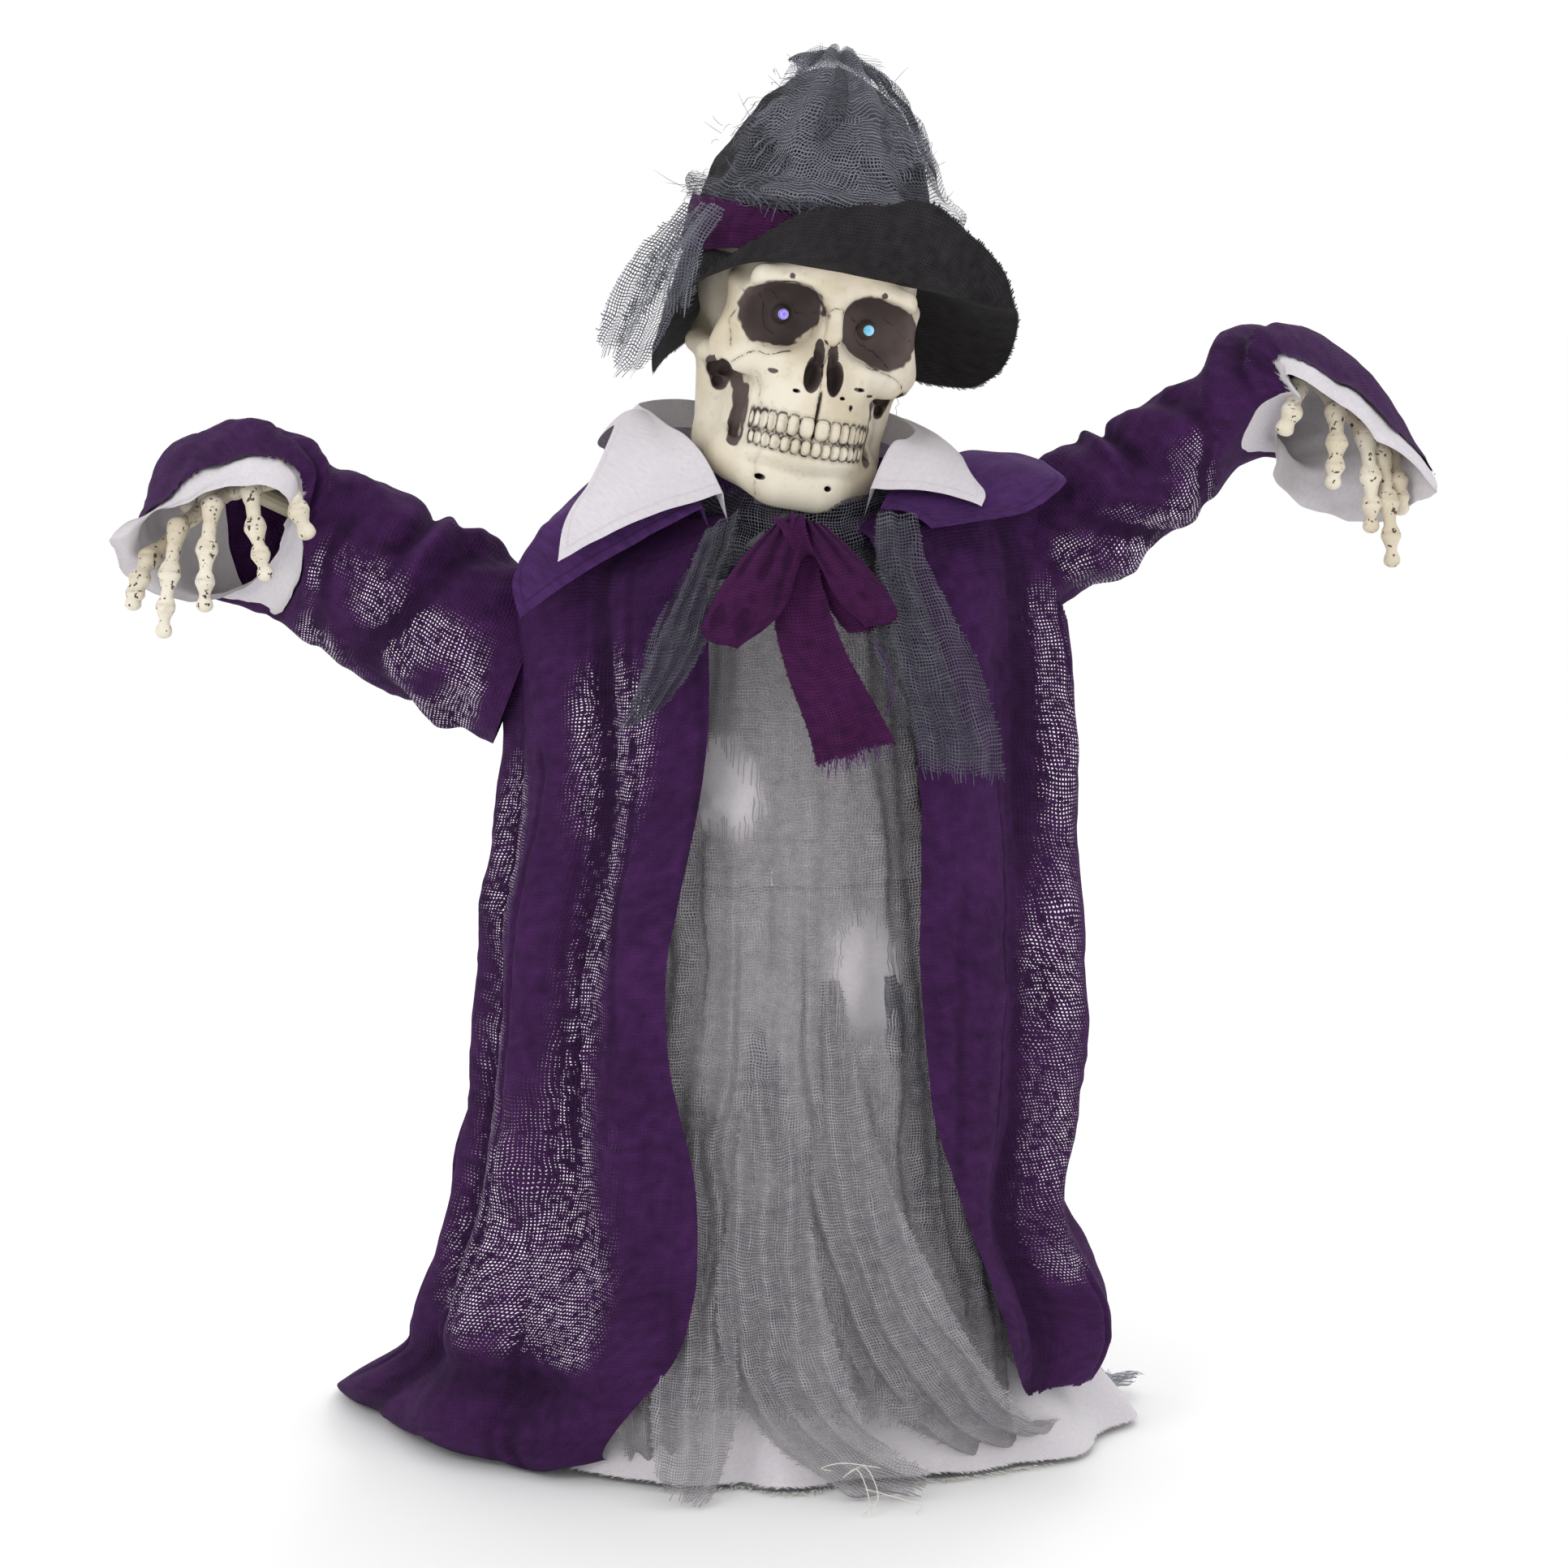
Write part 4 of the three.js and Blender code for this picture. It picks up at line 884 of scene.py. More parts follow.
def tilted(points, z=None):
    """Turns the top of the cloth with the shoulders, which lean."""
    z = points[..., 2] if z is None else z
    a = math.radians(ROCK) * smooth(TILT_FROM, TILT_TO, z)
    x, h = points[..., 0], points[..., 2] - ROCKER_Z
    return stack(x * np.cos(a) + h * np.sin(a), points[..., 1], ROCKER_Z - x * np.sin(a) + h * np.cos(a))


def coat():
    """The coat's body: one sheet from front edge to front edge, from the hem up to the neck."""
    rows, columns = 190, 420
    v = np.linspace(0, 1, rows)[:, None]
    u = np.linspace(0, 1, columns)[None, :]
    turn_in = smooth(0.86, 1, v)
    angle_guess = mix(25, 335, u)
    low = 48 * smooth(130, 105, angle_guess)
    z = mix(low, 606, np.clip(v / 0.88, 0, 1)) + 15 * np.sin(np.clip((v - 0.86) / 0.14, 0, 1) * math.pi / 2)
    left, right = keyed(LEFT_WALL, z), keyed(RIGHT_WALL, z)
    front, back = keyed(FRONT_WALL, z), keyed(BACK_WALL, z)
    first = np.arcsin(np.clip(keyed(RIGHT_OPENING, z) / right, 0, 0.97))
    last = 2 * math.pi - np.arcsin(np.clip(-keyed(LEFT_OPENING, z) / left, 0, 0.97))
    angle = mix(first, last, u)
    degrees = np.degrees(angle)
    sideways = np.where(np.sin(angle) > 0, right, left)
    deep = mix(back, front, smooth(-0.3, 0.3, np.cos(angle)))
    # folds deepen towards the hem; each set wanders so that none of them is straight
    base = stack(sideways * np.sin(angle), COAT_Y - deep * np.cos(angle), z)
    drift = 9 * noise(base * [1, 1, 0.7], 120, 1) + 6 * noise(base * [1, 1, 0.6], 50, 2)
    depth = mix(12.5, 5.2, np.clip(z / 560, 0, 1)) * (1 - turn_in)
    wide_fold = np.sin(np.radians(degrees * 11 + drift * 3.4))
    narrow = np.sin(np.radians(degrees * 27 + drift * 8 + 70))
    fold = wide_fold * 0.7 + np.sin(np.radians(degrees * 5 + drift * 2)) * 0.4
    valley = np.maximum(hump(wide_fold, -1, 0.16) * (noise(base * [1, 1, 0.4], 60, 9) > -0.25),
                        0.8 * hump(narrow, -1, 0.13))
    valley = valley * smooth(-0.1, 0.45, noise(base * [1, 1, 0.3], 46, 10) + 0.2)
    fold = fold - 0.35 * valley
    edge = smooth(0, 0.05, u) * smooth(1, 0.95, u)
    bulge = (fold * depth * mix(0.25, 1, edge) + 3.2 * noise(base, 42, 3)
             + 1.7 * noise(base * [1, 1, 0.55], 17, 5) + 0.7 * noise(base, 8, 6))
    # the front edge on the figure's right stands forward in one long roll beside the dark sheer panel
    bulge += (9 * hump(degrees, 329, 5) * smooth(60, 250, z) * (1 - turn_in)
              + 7 * hump(degrees, 279, 6) * smooth(600, 420, z))
    bulge += (6 * hump(degrees, 31, 6) * smooth(60, 200, z) * (1 - turn_in)
              - 7 * hump(degrees, 52, 7) * smooth(600, 500, z))
    tuck = hump(z + 7 * noise(base, 50, 14), 66, 11) * hump(degrees, 302, 30)
    bulge -= 10 * tuck
    bulge += 9 * hump(z, 30, 20) * hump(degrees, 296, 30)
    bulge *= 1 - turn_in * 0.7
    reach = 1 - 0.47 * turn_in ** 1.15
    points = stack((sideways * reach + bulge) * np.sin(angle),
                   COAT_Y - (deep * (1 - 0.16 * turn_in) + bulge) * np.cos(angle), z)
    # the shoulders stand on the beam's ends
    wide = np.abs(points[..., 0])
    points[..., 2] += 10 * hump(wide, 135, 45) * turn_in * (1 - hump(np.cos(angle), 1, 0.2))
    points[..., 2] += 15 * turn_in * smooth(0.35, 0.75, np.cos(angle)) * (points[..., 0] < 0)
    points = tilted(points)
    # below the tuck the hem spreads over the floor on the figure's right
    hem = keyed(SPREAD, degrees)
    outward = stack(np.sin(angle), -np.cos(angle), 0 * angle)
    hem = hem + outward * (0.55 * bulge + 3 * noise(base, 22, 15))[..., None]
    settle = (smooth(72, 2, z) * smooth(185, 225, degrees))[..., None]
    points = points + (hem - points) * settle
    points[..., 2] += 5 * np.sin(math.pi * settle[..., 0]) + 2.5 * settle[..., 0] * (1 + noise(base, 26, 16))
    points[..., 2] = np.maximum(points[..., 2], 1.2)
    points[..., 1] = np.maximum(points[..., 1], -148)
    sway = 3 * noise(base * [1, 1, 0.4], 60, 11)
    # sheer: where the weave thins, and where pale lining specks show through its gaps as painted backlight
    sheer = (1.15 * hump(degrees + sway, 320, 10) * smooth(66, 92, z) * smooth(590, 510, z)
             + 1.0 * hump(degrees + sway, 289, 9) * smooth(76, 105, z) * smooth(560, 440, z)
             + 0.7 * hump(degrees + sway, 304, 6) * smooth(300, 200, z) * smooth(70, 100, z)
             + 1.0 * hump(degrees + sway, 67, 12) * smooth(104, 135, z) * smooth(590, 540, z)
             + 0.45 * hump(degrees, 180, 62) * smooth(60, 120, z)
             + 0.8 * hump(degrees + sway, 326, 8) * hump(z, 520, 50))
    sheer = np.clip(sheer * (1.0 + 0.5 * noise(base * [1, 1, 0.4], 26, 8)) - 0.1 * valley, 0, 1) * edge
    # crease: painted shade in the fold valleys, the tuck and the receding sides of the folds
    crease = np.clip(0.6 * valley + 0.9 * tuck + 0.25 * smooth(0.1, -0.9, fold), 0, 1) * (1 - turn_in)
    holes = np.zeros((rows, columns), bool)
    for side, s in SIDES.items():
        local = placed(np.linalg.inv(ARM[side]), points) * [s, 1, 1]
        ring = ((local[..., 1] - 19) / 37) ** 2 + ((local[..., 2] + 14) / (43 if s > 0 else 50)) ** 2
        holes |= (ring < 1) & (local[..., 0] > -40) & (local[..., 0] < 120) & (wide > 120)
    obj = cloth("coat", points, PURPLE, None, "purple_cloth", end="first", sheer=sheer, holes=holes,
                crease=crease, cut=base)
    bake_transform(obj)
    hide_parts("coat_yoke", "coat_front_left", "coat_back", "coat_front_right")
    declare(obj)


# ---------------------------------------------------------------- sleeves
SLEEVE = {  # along the arm: the sleeve's top, front, bottom and back, each as along, y, up in the arm's frame
    "left": [(0, (12, 19, 32), (12, -27, -5), (10, 19, -42), (12, 65, -5)),
             (0.3, (80, 19, 41), (80, -27, -3), (75, 19, -48), (80, 65, -3)),
             (0.5, (118, 19, 38), (118, -28, -3), (110, 19, -44), (122, 66, -3)),
             (0.66, (160, 17, 33), (150, -30, 0), (142, 22, -39), (172, 66, -4)),
             (0.84, (226, 4, 37), (190, -36, 2), (176, 36, -42), (262, 48, -26)),
             (1, (232, -42, -3), (212, -44, -6), (196, 34, -60), (258, -40, -104)),
             (1.12, (227, -47, -15), (211, -48, -10), (178, 26, -79), (254, -46, -116))],
    "right": [(0, (12, 19, 26), (12, -27, -22), (8, 19, -85), (12, 65, -20)),
              (0.3, (80, 19, 35), (80, -27, -20), (70, 19, -82), (80, 65, -20)),
              (0.55, (140, 19, 38), (140, -28, -15), (130, 19, -76), (145, 66, -18)),
              (0.72, (190, 15, 41), (170, -31, -4), (170, 26, -74), (210, 66, -14)),
              (0.88, (232, 2, 46), (178, -38, 2), (196, 40, -78), (284, 44, -26)),
              (1, (226, -42, 22), (181, -44, 6), (220, 38, -80), (274, -34, -48)),
              (1.12, (226, -48, 8), (184, -48, 0), (224, 30, -84), (288, -38, -62))],
}


def sleeve_points(side, t, phi, inset=0.0, gather=1.0):
    """A point of the sleeve: t along it, phi round it from the top, towards the back first."""
    s = SIDES[side]
    line = keyed([(k, *top, *front, *bottom, *back) for k, top, front, bottom, back in SLEEVE[side]], t)
    top, front, bottom, back = (line[..., 3 * k:3 * k + 3] for k in range(4))
    middle = (front + back) / 2
    c, d = np.cos(phi)[..., None], np.sin(phi)[..., None]
    points = middle + np.where(c > 0, top - middle, bottom - middle) * np.abs(c) + (back - middle) * d
    outward = (points - middle) / np.linalg.norm(points - middle, axis=-1, keepdims=True)
    along, up, deep = points[..., 0], c[..., 0], d[..., 0]
    high = smooth(-0.2, 0.7, up)
    # cloth gathers in rings at the elbow and under the hood, and creases slantwise between them
    rings = np.sin(along / 7.5 + 2.2 * deep + 2 * noise(points, 40, s)) * hump(t, 0.64, 0.1)
    slants = np.sin(along / 11 + 2.0 * up + 2.4 * deep + 3 * noise(points, 50, 3 + s)) * hump(t, 0.34, 0.24)
    bulge = (3.6 * rings + 5.2 * slants + 4.4 * noise(points * [0.6, 1, 1.3], 34, 5 + s)
             + 2.4 * noise(points, 14, 7 + s) + 0.6 * noise(points, 6, 9))
    bulge = bulge + high * (7 * hump(t, 0.76, 0.045) - 6 * hump(t, 0.83, 0.03) + 4 * hump(t, 0.9, 0.04)
                            - 2 * hump(t, 0.96, 0.02))
    bulge = bulge + high * (8 * hump(t + 0.03 * deep, 0.36, 0.03) - 5 * hump(t + 0.03 * deep, 0.41, 0.025))
    bulge = gather * bulge - inset
    # hollow: how deep in a gathered ring or crease a point lies, darkened by the cloth as painted shade
    hollow = np.clip(0.7 * smooth(-0.45, -0.95, rings) + 0.75 * smooth(-0.4, -0.95, slants)
                     + high * (0.9 * hump(t, 0.83, 0.02) + 0.8 * hump(t + 0.03 * deep, 0.405, 0.014)), 0, 1)
    return (points + outward * bulge[..., None]) * [s, 1, 1], hollow


def sleeves(side):
    """A sleeve that ends in a hood over the hand, and its white lining."""
    s = SIDES[side]
    rows, columns = 120, 160
    t = np.linspace(0, 1, rows)[:, None]
    phi = s * 2 * math.pi * np.arange(columns)[None, :] / columns
    points, hollow = sleeve_points(side, t + 0 * phi, phi + 0 * t)
    plain, _ = sleeve_points(side, t + 0 * phi, phi + 0 * t, gather=0.15)
    low = smooth(0.75, -0.3, np.cos(phi))
    mottle = noise(points, 26, 12 + s)
    # sheer: thinner weave mostly on the underside, where pale lining specks show through as painted backlight
    sheer = np.clip(low * smooth(0.02, 0.12, t) * smooth(0.78, 0.62, t) * (0.85 + 1.0 * mottle) - 0.5 * hollow
                    + 0.5 * hump(t, 0.88, 0.06) * smooth(0, 0.6, np.cos(phi)) * (mottle > 0.1), 0, 1)
    obj = cloth(f"coat_sleeve_{side}", points, PURPLE, None, "purple_cloth", wrap=True, end="last",
                sheer=sheer, crease=hollow, cut=plain, matrix=ARM[side])
    near, far = placed(ARM[side], [[0, 0, 0], [s * 75, 0, 0]]) * MM
    tuple(near)
    tuple(far)
    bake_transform(obj)
    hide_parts(f"sleeve_{side}")
    declare(obj)

    t = np.linspace(0.78, 1.12, 50)[:, None]
    points, _ = sleeve_points(side, t + 0 * phi, phi + 0 * t, inset=3.0)
    points[..., 2] += 1.5 * noise(points, 14, 4) * smooth(0.98, 1.1, t)
    cuff = cloth(f"sleeve_lining_{side}", points, COTTON, f"{side}_arm", "white_cloth", wrap=True,
                 matrix=ARM[side])
    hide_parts(f"cuff_{side}")
    declare(cuff)


# ---------------------------------------------------------------- collars
def collar(name, keys, look, slot, stand_up, node_name, wobble=2.0):
    """A turned-down collar: it stands up from the neck, rolls over and lies on the shoulders.
    keys: degrees round from the back, then x, y, z of the fold and x, y, z of the outer edge."""
    rows, columns = 56, 260
    angle = np.linspace(keys[0][0], keys[-1][0], columns)[None, :]
    line = keyed(keys, angle)
    fold, outer = line[..., :3], line[..., 3:]
    v = np.linspace(0, 1, rows)[:, None, None]
    up_to = 0.25
    inner = fold * [0.93, 0.93, 1] - [0, 0, stand_up]
    up = inner + (fold - inner) * np.sin(np.clip(v / up_to, 0, 1) * math.pi / 2)
    w = np.clip((v - up_to) / (1 - up_to), 0, 1)
    down = fold + (outer - fold) * w + np.array([0, 0, 1.0]) * (6 * np.sin(math.pi * w) ** 0.8)
    points = np.where(v < up_to, up, down)
    points[..., 2:] += hump(v, up_to, 0.08) * 2.5
    sag = wobble * noise(points, 38, 31) + 0.5 * wobble * noise(points, 15, 32)
    points[..., 2] += sag * smooth(0.1, 0.5, v[..., 0])
    obj = cloth(name, points, look, "shoulders", slot, end="last", side=True)
    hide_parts(node_name)
    declare(obj)


COLLARS = {
    "purple": [(-152, -50, -84, 634, -167, -92, 566), (-141, -57, -78, 646, -172, -86, 590),
               (-126, -66, -68, 657, -158, -68, 618),
               (-106, -80, -46, 664, -150, -44, 628), (-84, -90, -14, 668, -142, -12, 632),
               (-50, -100, 34, 652, -150, 52, 606),
               (-20, -64, 70, 646, -90, 96, 598), (0, -14, 80, 650, -6, 108, 602),
               (20, 38, 70, 656, 76, 96, 618),
               (50, 76, 34, 660, 136, 52, 638), (84, 92, -14, 662, 158, -10, 664),
               (106, 84, -44, 658, 170, -42, 662),
               (126, 74, -64, 652, 177, -72, 650), (141, 66, -76, 644, 144, -90, 632),
               (152, 60, -84, 634, 92, -98, 624)],
    "white": [(-152, -38, -84, 644, -142, -102, 604), (-141, -48, -80, 664, -139, -92, 626),
              (-126, -60, -70, 678, -125, -74, 650),
              (-106, -74, -48, 685, -114, -46, 674), (-84, -84, -14, 690, -110, -14, 684),
              (-50, -94, 32, 696, -122, 46, 668),
              (-20, -64, 68, 696, -78, 90, 650), (0, -16, 78, 690, -12, 98, 648),
              (20, 30, 68, 690, 54, 90, 654),
              (50, 64, 32, 690, 98, 46, 666), (84, 84, -12, 680, 112, -14, 668),
              (106, 78, -44, 676, 118, -44, 662),
              (126, 68, -64, 674, 124, -70, 652), (141, 60, -76, 660, 127, -86, 644),
              (152, 54, -82, 646, 124, -96, 638)],
}


def collars():
    collar("coat_lapels", COLLARS["purple"], FELT, "purple_cloth", 12, "coat_collar")
    collar("shirt_collar_points", COLLARS["white"], SHIRT, "white_cloth", 16, "shirt_collar", wobble=1.4)


# ---------------------------------------------------------------- bow and scarf
def ribbon(name, path, widths, look, body, slot, across=(1, 0, 0), folds=(2.0, 26), seed=0, end="last",
           columns=40, rows=90, ripple=1.2):
    """A strip of cloth whose middle follows path; widths are its half widths along it."""
    n = len(path)
    t = np.linspace(0, 1, rows)
    middle = keyed(np.column_stack([np.linspace(0, 1, n), path]), t)[:, None, :]
    half = keyed(np.column_stack([np.linspace(0, 1, len(widths)), widths]), t)[:, None]
    across = np.asarray(across, float)
    wide = across
    if across.ndim == 2:
        wide = keyed(np.column_stack([np.linspace(0, 1, len(across)), across]), t)[:, None, :]
    wide = wide / np.linalg.norm(wide, axis=-1, keepdims=True)
    ahead = np.gradient(middle[:, 0], axis=0)[:, None, :]
    out = np.cross(wide, ahead)
    out = out / (np.linalg.norm(out, axis=-1, keepdims=True) + 1e-9)
    w = np.linspace(-1, 1, columns)[None, :]
    points = middle + wide * (w * half)[..., None]
    depth, pitch = folds
    span = w * half + 0 * t[:, None]
    wander = 5 * noise(points, 45, seed)
    bend = depth * np.sin(2 * math.pi * (span + wander) / pitch) + ripple * noise(points, 13, seed + 3)
    points = points + out * bend[..., None]
    return points, lambda **more: cloth(name, points, look, body, slot, end=end, side=True, **more)


def neckwear():
    """The bow with its knot and tails, its loose threads, and the gauze scarf."""
    # each loop of the bow is a drooping pouch of ribbon, pleated where the knot gathers it
    lobes = (("bow_loop_right", [(4, -121, 634), (-6, -126, 616), (-17, -129, 594), (-25, -129, 572),
                                 (-29, -126, 553)],
              [9, 20, 27, 25, 4], (0.96, 0, 0.28), 1),
             ("bow_loop_left", [(18, -121, 632), (30, -126, 616), (42, -128, 598), (50, -127, 582),
                                (51, -124, 566)],
              [8, 17, 22, 20, 4], (0.94, 0, -0.34), 2))
    for name, path, widths, across, seed in lobes:
        rows, columns = 110, 130
        t = np.linspace(0, 1, rows)[:, None]
        a = np.radians(np.linspace(-24, 204, columns))[None, :]
        middle = keyed(np.column_stack([np.linspace(0, 1, len(path)), path]), t)
        half = keyed(np.column_stack([(0, 0.25, 0.55, 0.8, 1), widths]), t) * smooth(1.04, 0.9, t)
        thick = mix(4, 10, np.sin(math.pi * np.clip(t, 0, 1)) ** 0.8) * smooth(1.0, 0.86, t) + 0.6
        pleat = np.sin(7 * a + 2.2 * noise(stack(18 * a, 30 * t, 0), 20, seed))
        pleat = 1.7 * pleat * mix(1, 0.35, t) * smooth(1, 0.9, t)
        flat = middle + np.array(across) * (half * np.cos(a))[..., None]
        lump = pleat + 1.6 * noise(flat, 17, 20 + seed) + 0.8 * noise(flat, 7, 24 + seed)
        points = flat - np.array([0, 1.0, 0]) * ((thick + lump * (np.sin(a) > 0)) * np.sin(a))[..., None]
        # crease: painted shade in the pleat valleys
        crease = smooth(-0.5, -1.6, lump) * 0.8
        lobe = cloth(name, points, BAND, "shoulders", "purple_cloth", crease=crease)
        declare(lobe)
    _, finish = ribbon("bow_knot", [(0, -112, 634), (4, -127, 632), (8, -133, 622), (12, -128, 611),
                                         (14, -112, 606)],
                            [9, 10, 8, 9, 9], BAND, "shoulders", "purple_cloth", across=(1, 0.1, 0.15),
                            folds=(1.3, 9), seed=4, end=None, rows=60)
    knot = finish()
    declare(knot)
    tails = (("bow_tail", [(12, -120, 612), (10, -123, 580), (20, -127, 545), (36, -128, 510),
                           (46, -126, 484)], [9, 18, 21, 24, 27],
              (0.93, 0, 0.3), 5),
              ("bow_tail_short", [(20, -117, 608), (36, -118, 590), (50, -119, 574), (58, -118, 562)],
               [8, 15, 19, 17],
                                   (0.95, 0, 0.2), 6))
    for name, path, widths, across, seed in tails:
        _, finish = ribbon(name, path, widths, BAND, "shoulders", "purple_cloth", across=across,
                                folds=(1.8, 24), seed=seed)
        tail = finish()
        declare(tail)
    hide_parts("bow")

    rng = np.random.default_rng(3)
    threads = [np.array([(54 + i, -126, 560), (64 + i, -128, 540), (66 + i, -127, 520),
                         (60 + i, -126, 505 + 3 * i)], float) for i in (0, 2)]
    threads = [keyed(np.column_stack([np.linspace(0, 1, 4), p]), np.linspace(0, 1, 16)) for p in threads]
    for _ in range(34):
        x = 24 + 44 * rng.random()
        z = 487 + 0.34 * (x - 46) - 4 + 3 * rng.random()
        drop = 3 + 6 * rng.random()
        threads.append(np.array([(x, -126, z + 6), (x + rng.normal() * 0.5, -126, z),
                                 (x + rng.normal() * 1.5, -127, z - drop)]))
    strands("bow_threads", threads, 0.3, THREADS["purple_thread"], "shoulders", "purple_cloth")

    # the gauze scarf: wound round the neck, with two ragged ends
    rows, columns = 50, 160
    angle = np.radians(np.linspace(-125, 125, columns))[None, :]
    v = np.linspace(0, 1, rows)[:, None]
    high, low = 26 + 0 * angle, -22 - 8 * np.cos(angle)
    z = mix(low, high, v) + NECK_Z
    bulk = 5 * np.sin(v * math.pi) ** 0.5
    radius = mix(1.12, 0.86, v)
    fold = 2.2 * np.sin(v * 17 + 2.5 * np.sin(angle * 1.5))
    fold = fold + 1.8 * noise(stack(60 * angle, v * 60, 0 * z), 14, 2)
    points = stack((62 * radius + bulk + fold) * np.sin(angle) + 12,
                   8 - (88 * radius + bulk + fold) * np.cos(angle), z)
    wrap_round = cloth("scarf_wrap", points, SMOKE, "shoulders", "grey_gauze", end="last", side=True)
    declare(wrap_round)
    ends = (
        ("scarf_end_left", [(70, -108, 636), (74, -117, 604), (86, -123, 572), (98, -126, 536),
                            (108, -125, 500), (112, -123, 466)],
         [15, 19, 25, 29, 29, 29], (1, 0.12, -0.1), 11, (3.4, 15)),
        ("scarf_end_left_under", [(68, -104, 632), (70, -113, 600), (74, -119, 566), (84, -121, 530),
                                  (100, -121, 496), (112, -119, 474)],
         [13, 16, 22, 26, 27, 22], (1, 0.1, -0.2), 12, (3.2, 13)),
        ("scarf_end_right", [(-38, -106, 632), (-46, -115, 604), (-58, -121, 574), (-68, -122, 546),
                             (-82, -121, 520), (-98, -118, 500)],
         [15, 18, 24, 26, 22, 14], (0.85, 0.1, 0.5), 13, (3.4, 13)),
        ("scarf_end_right_under", [(-40, -101, 628), (-50, -110, 600), (-64, -115, 568), (-72, -117, 540),
                                   (-84, -117, 516), (-90, -116, 504)],
         [12, 16, 22, 21, 15, 9], (0.95, 0.1, 0.3), 14, (2.8, 12)),
    )
    for name, path, widths, across, seed, folds in ends:
        _, finish = ribbon(name, path, widths, SMOKE, "shoulders", "grey_gauze", across=across,
                                folds=folds, seed=seed, rows=120, columns=60, ripple=2.0)
        piece = finish()
        declare(piece)
    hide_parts("gauze_scarf")


# ---------------------------------------------------------------- dress and underskirt
def skirt_size(v):
    return mix(190, 96, v ** 0.8), mix(132, 66, v ** 0.55)


TEARS = ((-42, 459, 17, 24), (52, 330, 17, 34), (-30, 444, 12, 14), (60, 312, 10, 14), (-10, 195, 9, 7))


def dress():
    """The grey gauze front with its tears, and the torn strips that lie over it."""
    rows, columns = 230, 260
    v = np.linspace(1, 0, rows)[:, None]
    phi = np.radians(np.linspace(-64, 64, columns))[None, :]
    rx, ry = skirt_size(v)
    hem = 46 + 7 * noise(stack(phi * 120, 0, 0), 34, 40) - 30 * smooth(28, 60, np.degrees(phi))
    z = mix(hem, 579, v)
    flat = stack(rx * np.sin(phi), 10 - ry * np.cos(phi), z)
    depth = mix(9, 2.5, np.clip(z / 520, 0, 1) ** 0.6)
    drift = 10 * noise(flat * [1, 1, 0.4], 60, 41) + 5 * noise(flat * [1, 1, 0.5], 26, 42)
    fold = (np.sin(np.radians(np.degrees(phi) * 17 + drift * 9)) * 0.65
            + np.sin(np.radians(np.degrees(phi) * 41 + drift * 16)) * 0.35)
    narrow = np.sin(np.radians(np.degrees(phi) * 31 + drift * 14))
    some = smooth(0.0, 0.4, noise(flat * [1, 1, 0.25], 30, 46) + 0.25)
    valley = hump(narrow, -1, 0.12) * some * smooth(460, 300, z)
    crinkle = noise(flat * [0.35, 0.35, 2.6] + [0, 0, 0.7] * drift[..., None], 13, 47)
    bulge = (fold * depth + 3.0 * noise(flat, 40, 43) + 1.5 * noise(flat * [1, 1, 0.35], 11, 44)
             + 1.3 * crinkle - 2.6 * valley + 0.6 * noise(flat, 5, 45))
    points = stack((rx + bulge) * np.sin(phi), 10 - (ry + bulge) * np.cos(phi), z)
    points[..., 1] = np.maximum(points[..., 1], -147)
    x = points[..., 0]
    distance = np.full(x.shape, 1.0)
    for cx, cz, a, c in TEARS:
        k = np.hypot((x - cx + 5 * noise(points, 14, 50)) / a, (z - cz + 6 * noise(points, 17, 51)) / c)
        distance = np.minimum(distance, np.clip((k - 1) * min(a, c) * MM, -0.01, 1))
    column_end = lengths(points, 0) * MM
    ragged = np.minimum(column_end[-1:] - column_end, distance + 0.003)
    # crease: painted shade in the narrow fold valleys and the crinkles
    obj = cloth("dress_front", points, DRESS, "stand", "grey_gauze", end=ragged, side=True,
                crease=np.clip(0.8 * valley + 0.3 * smooth(-0.3, -0.9, crinkle), 0, 1))
    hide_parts("gauze_dress")
    declare(obj)
    # torn strips of the same gauze lie over the front and run out onto the floor
    strips = (
        ("gauze_strip_1", [(-50, -60, 260), (-56, -92, 180), (-56, -108, 110), (-58, -119, 60),
                           (-62, -134, 20), (-68, -148, 5)],
         [6, 20, 28, 30, 24, 17], 61),
        ("gauze_strip_2", [(-14, -68, 300), (-10, -96, 200), (-8, -114, 120), (14, -124, 60), (50, -132, 24),
                           (92, -122, 6)],
         [8, 26, 38, 38, 28, 19], 62),
        ("gauze_strip_3", [(30, -66, 330), (40, -92, 220), (60, -106, 140), (92, -112, 80), (134, -88, 34),
                           (180, -22, 7)],
         [8, 24, 38, 40, 32, 19], 63),
        ("gauze_strip_4", [(70, -46, 330), (84, -52, 230), (104, -50, 150), (146, -22, 80), (200, 34, 26),
                           (250, 106, 7)],
         [8, 22, 32, 32, 24, 12], 64),
        ("gauze_strip_5", [(-70, -52, 240), (-84, -80, 150), (-88, -94, 80), (-88, -104, 42), (-84, -90, 16),
                           (-66, -56, 7)],
         [6, 20, 26, 22, 16, 12], 65),
    )
    for name, path, widths, seed in strips:
        ahead = np.gradient(np.array(path, float), axis=0)
        across = np.cross(ahead, [0.0, 0.85, 0.5])
        across = -across / np.linalg.norm(across, axis=1)[:, None]
        points, finish = ribbon(name, path, widths, DRESS if seed != 64 else GAUZE, "stand", "grey_gauze",
                                across=across, folds=(3.6, 17), seed=seed, rows=150, columns=80, ripple=1.8)
        points[..., 2] = np.maximum(points[..., 2], 2.5 + 0.8 * noise(points, 9, seed))
        points[..., 1] = np.maximum(points[..., 1], FRONT_LIMIT)
        strip = finish()
        declare(strip)


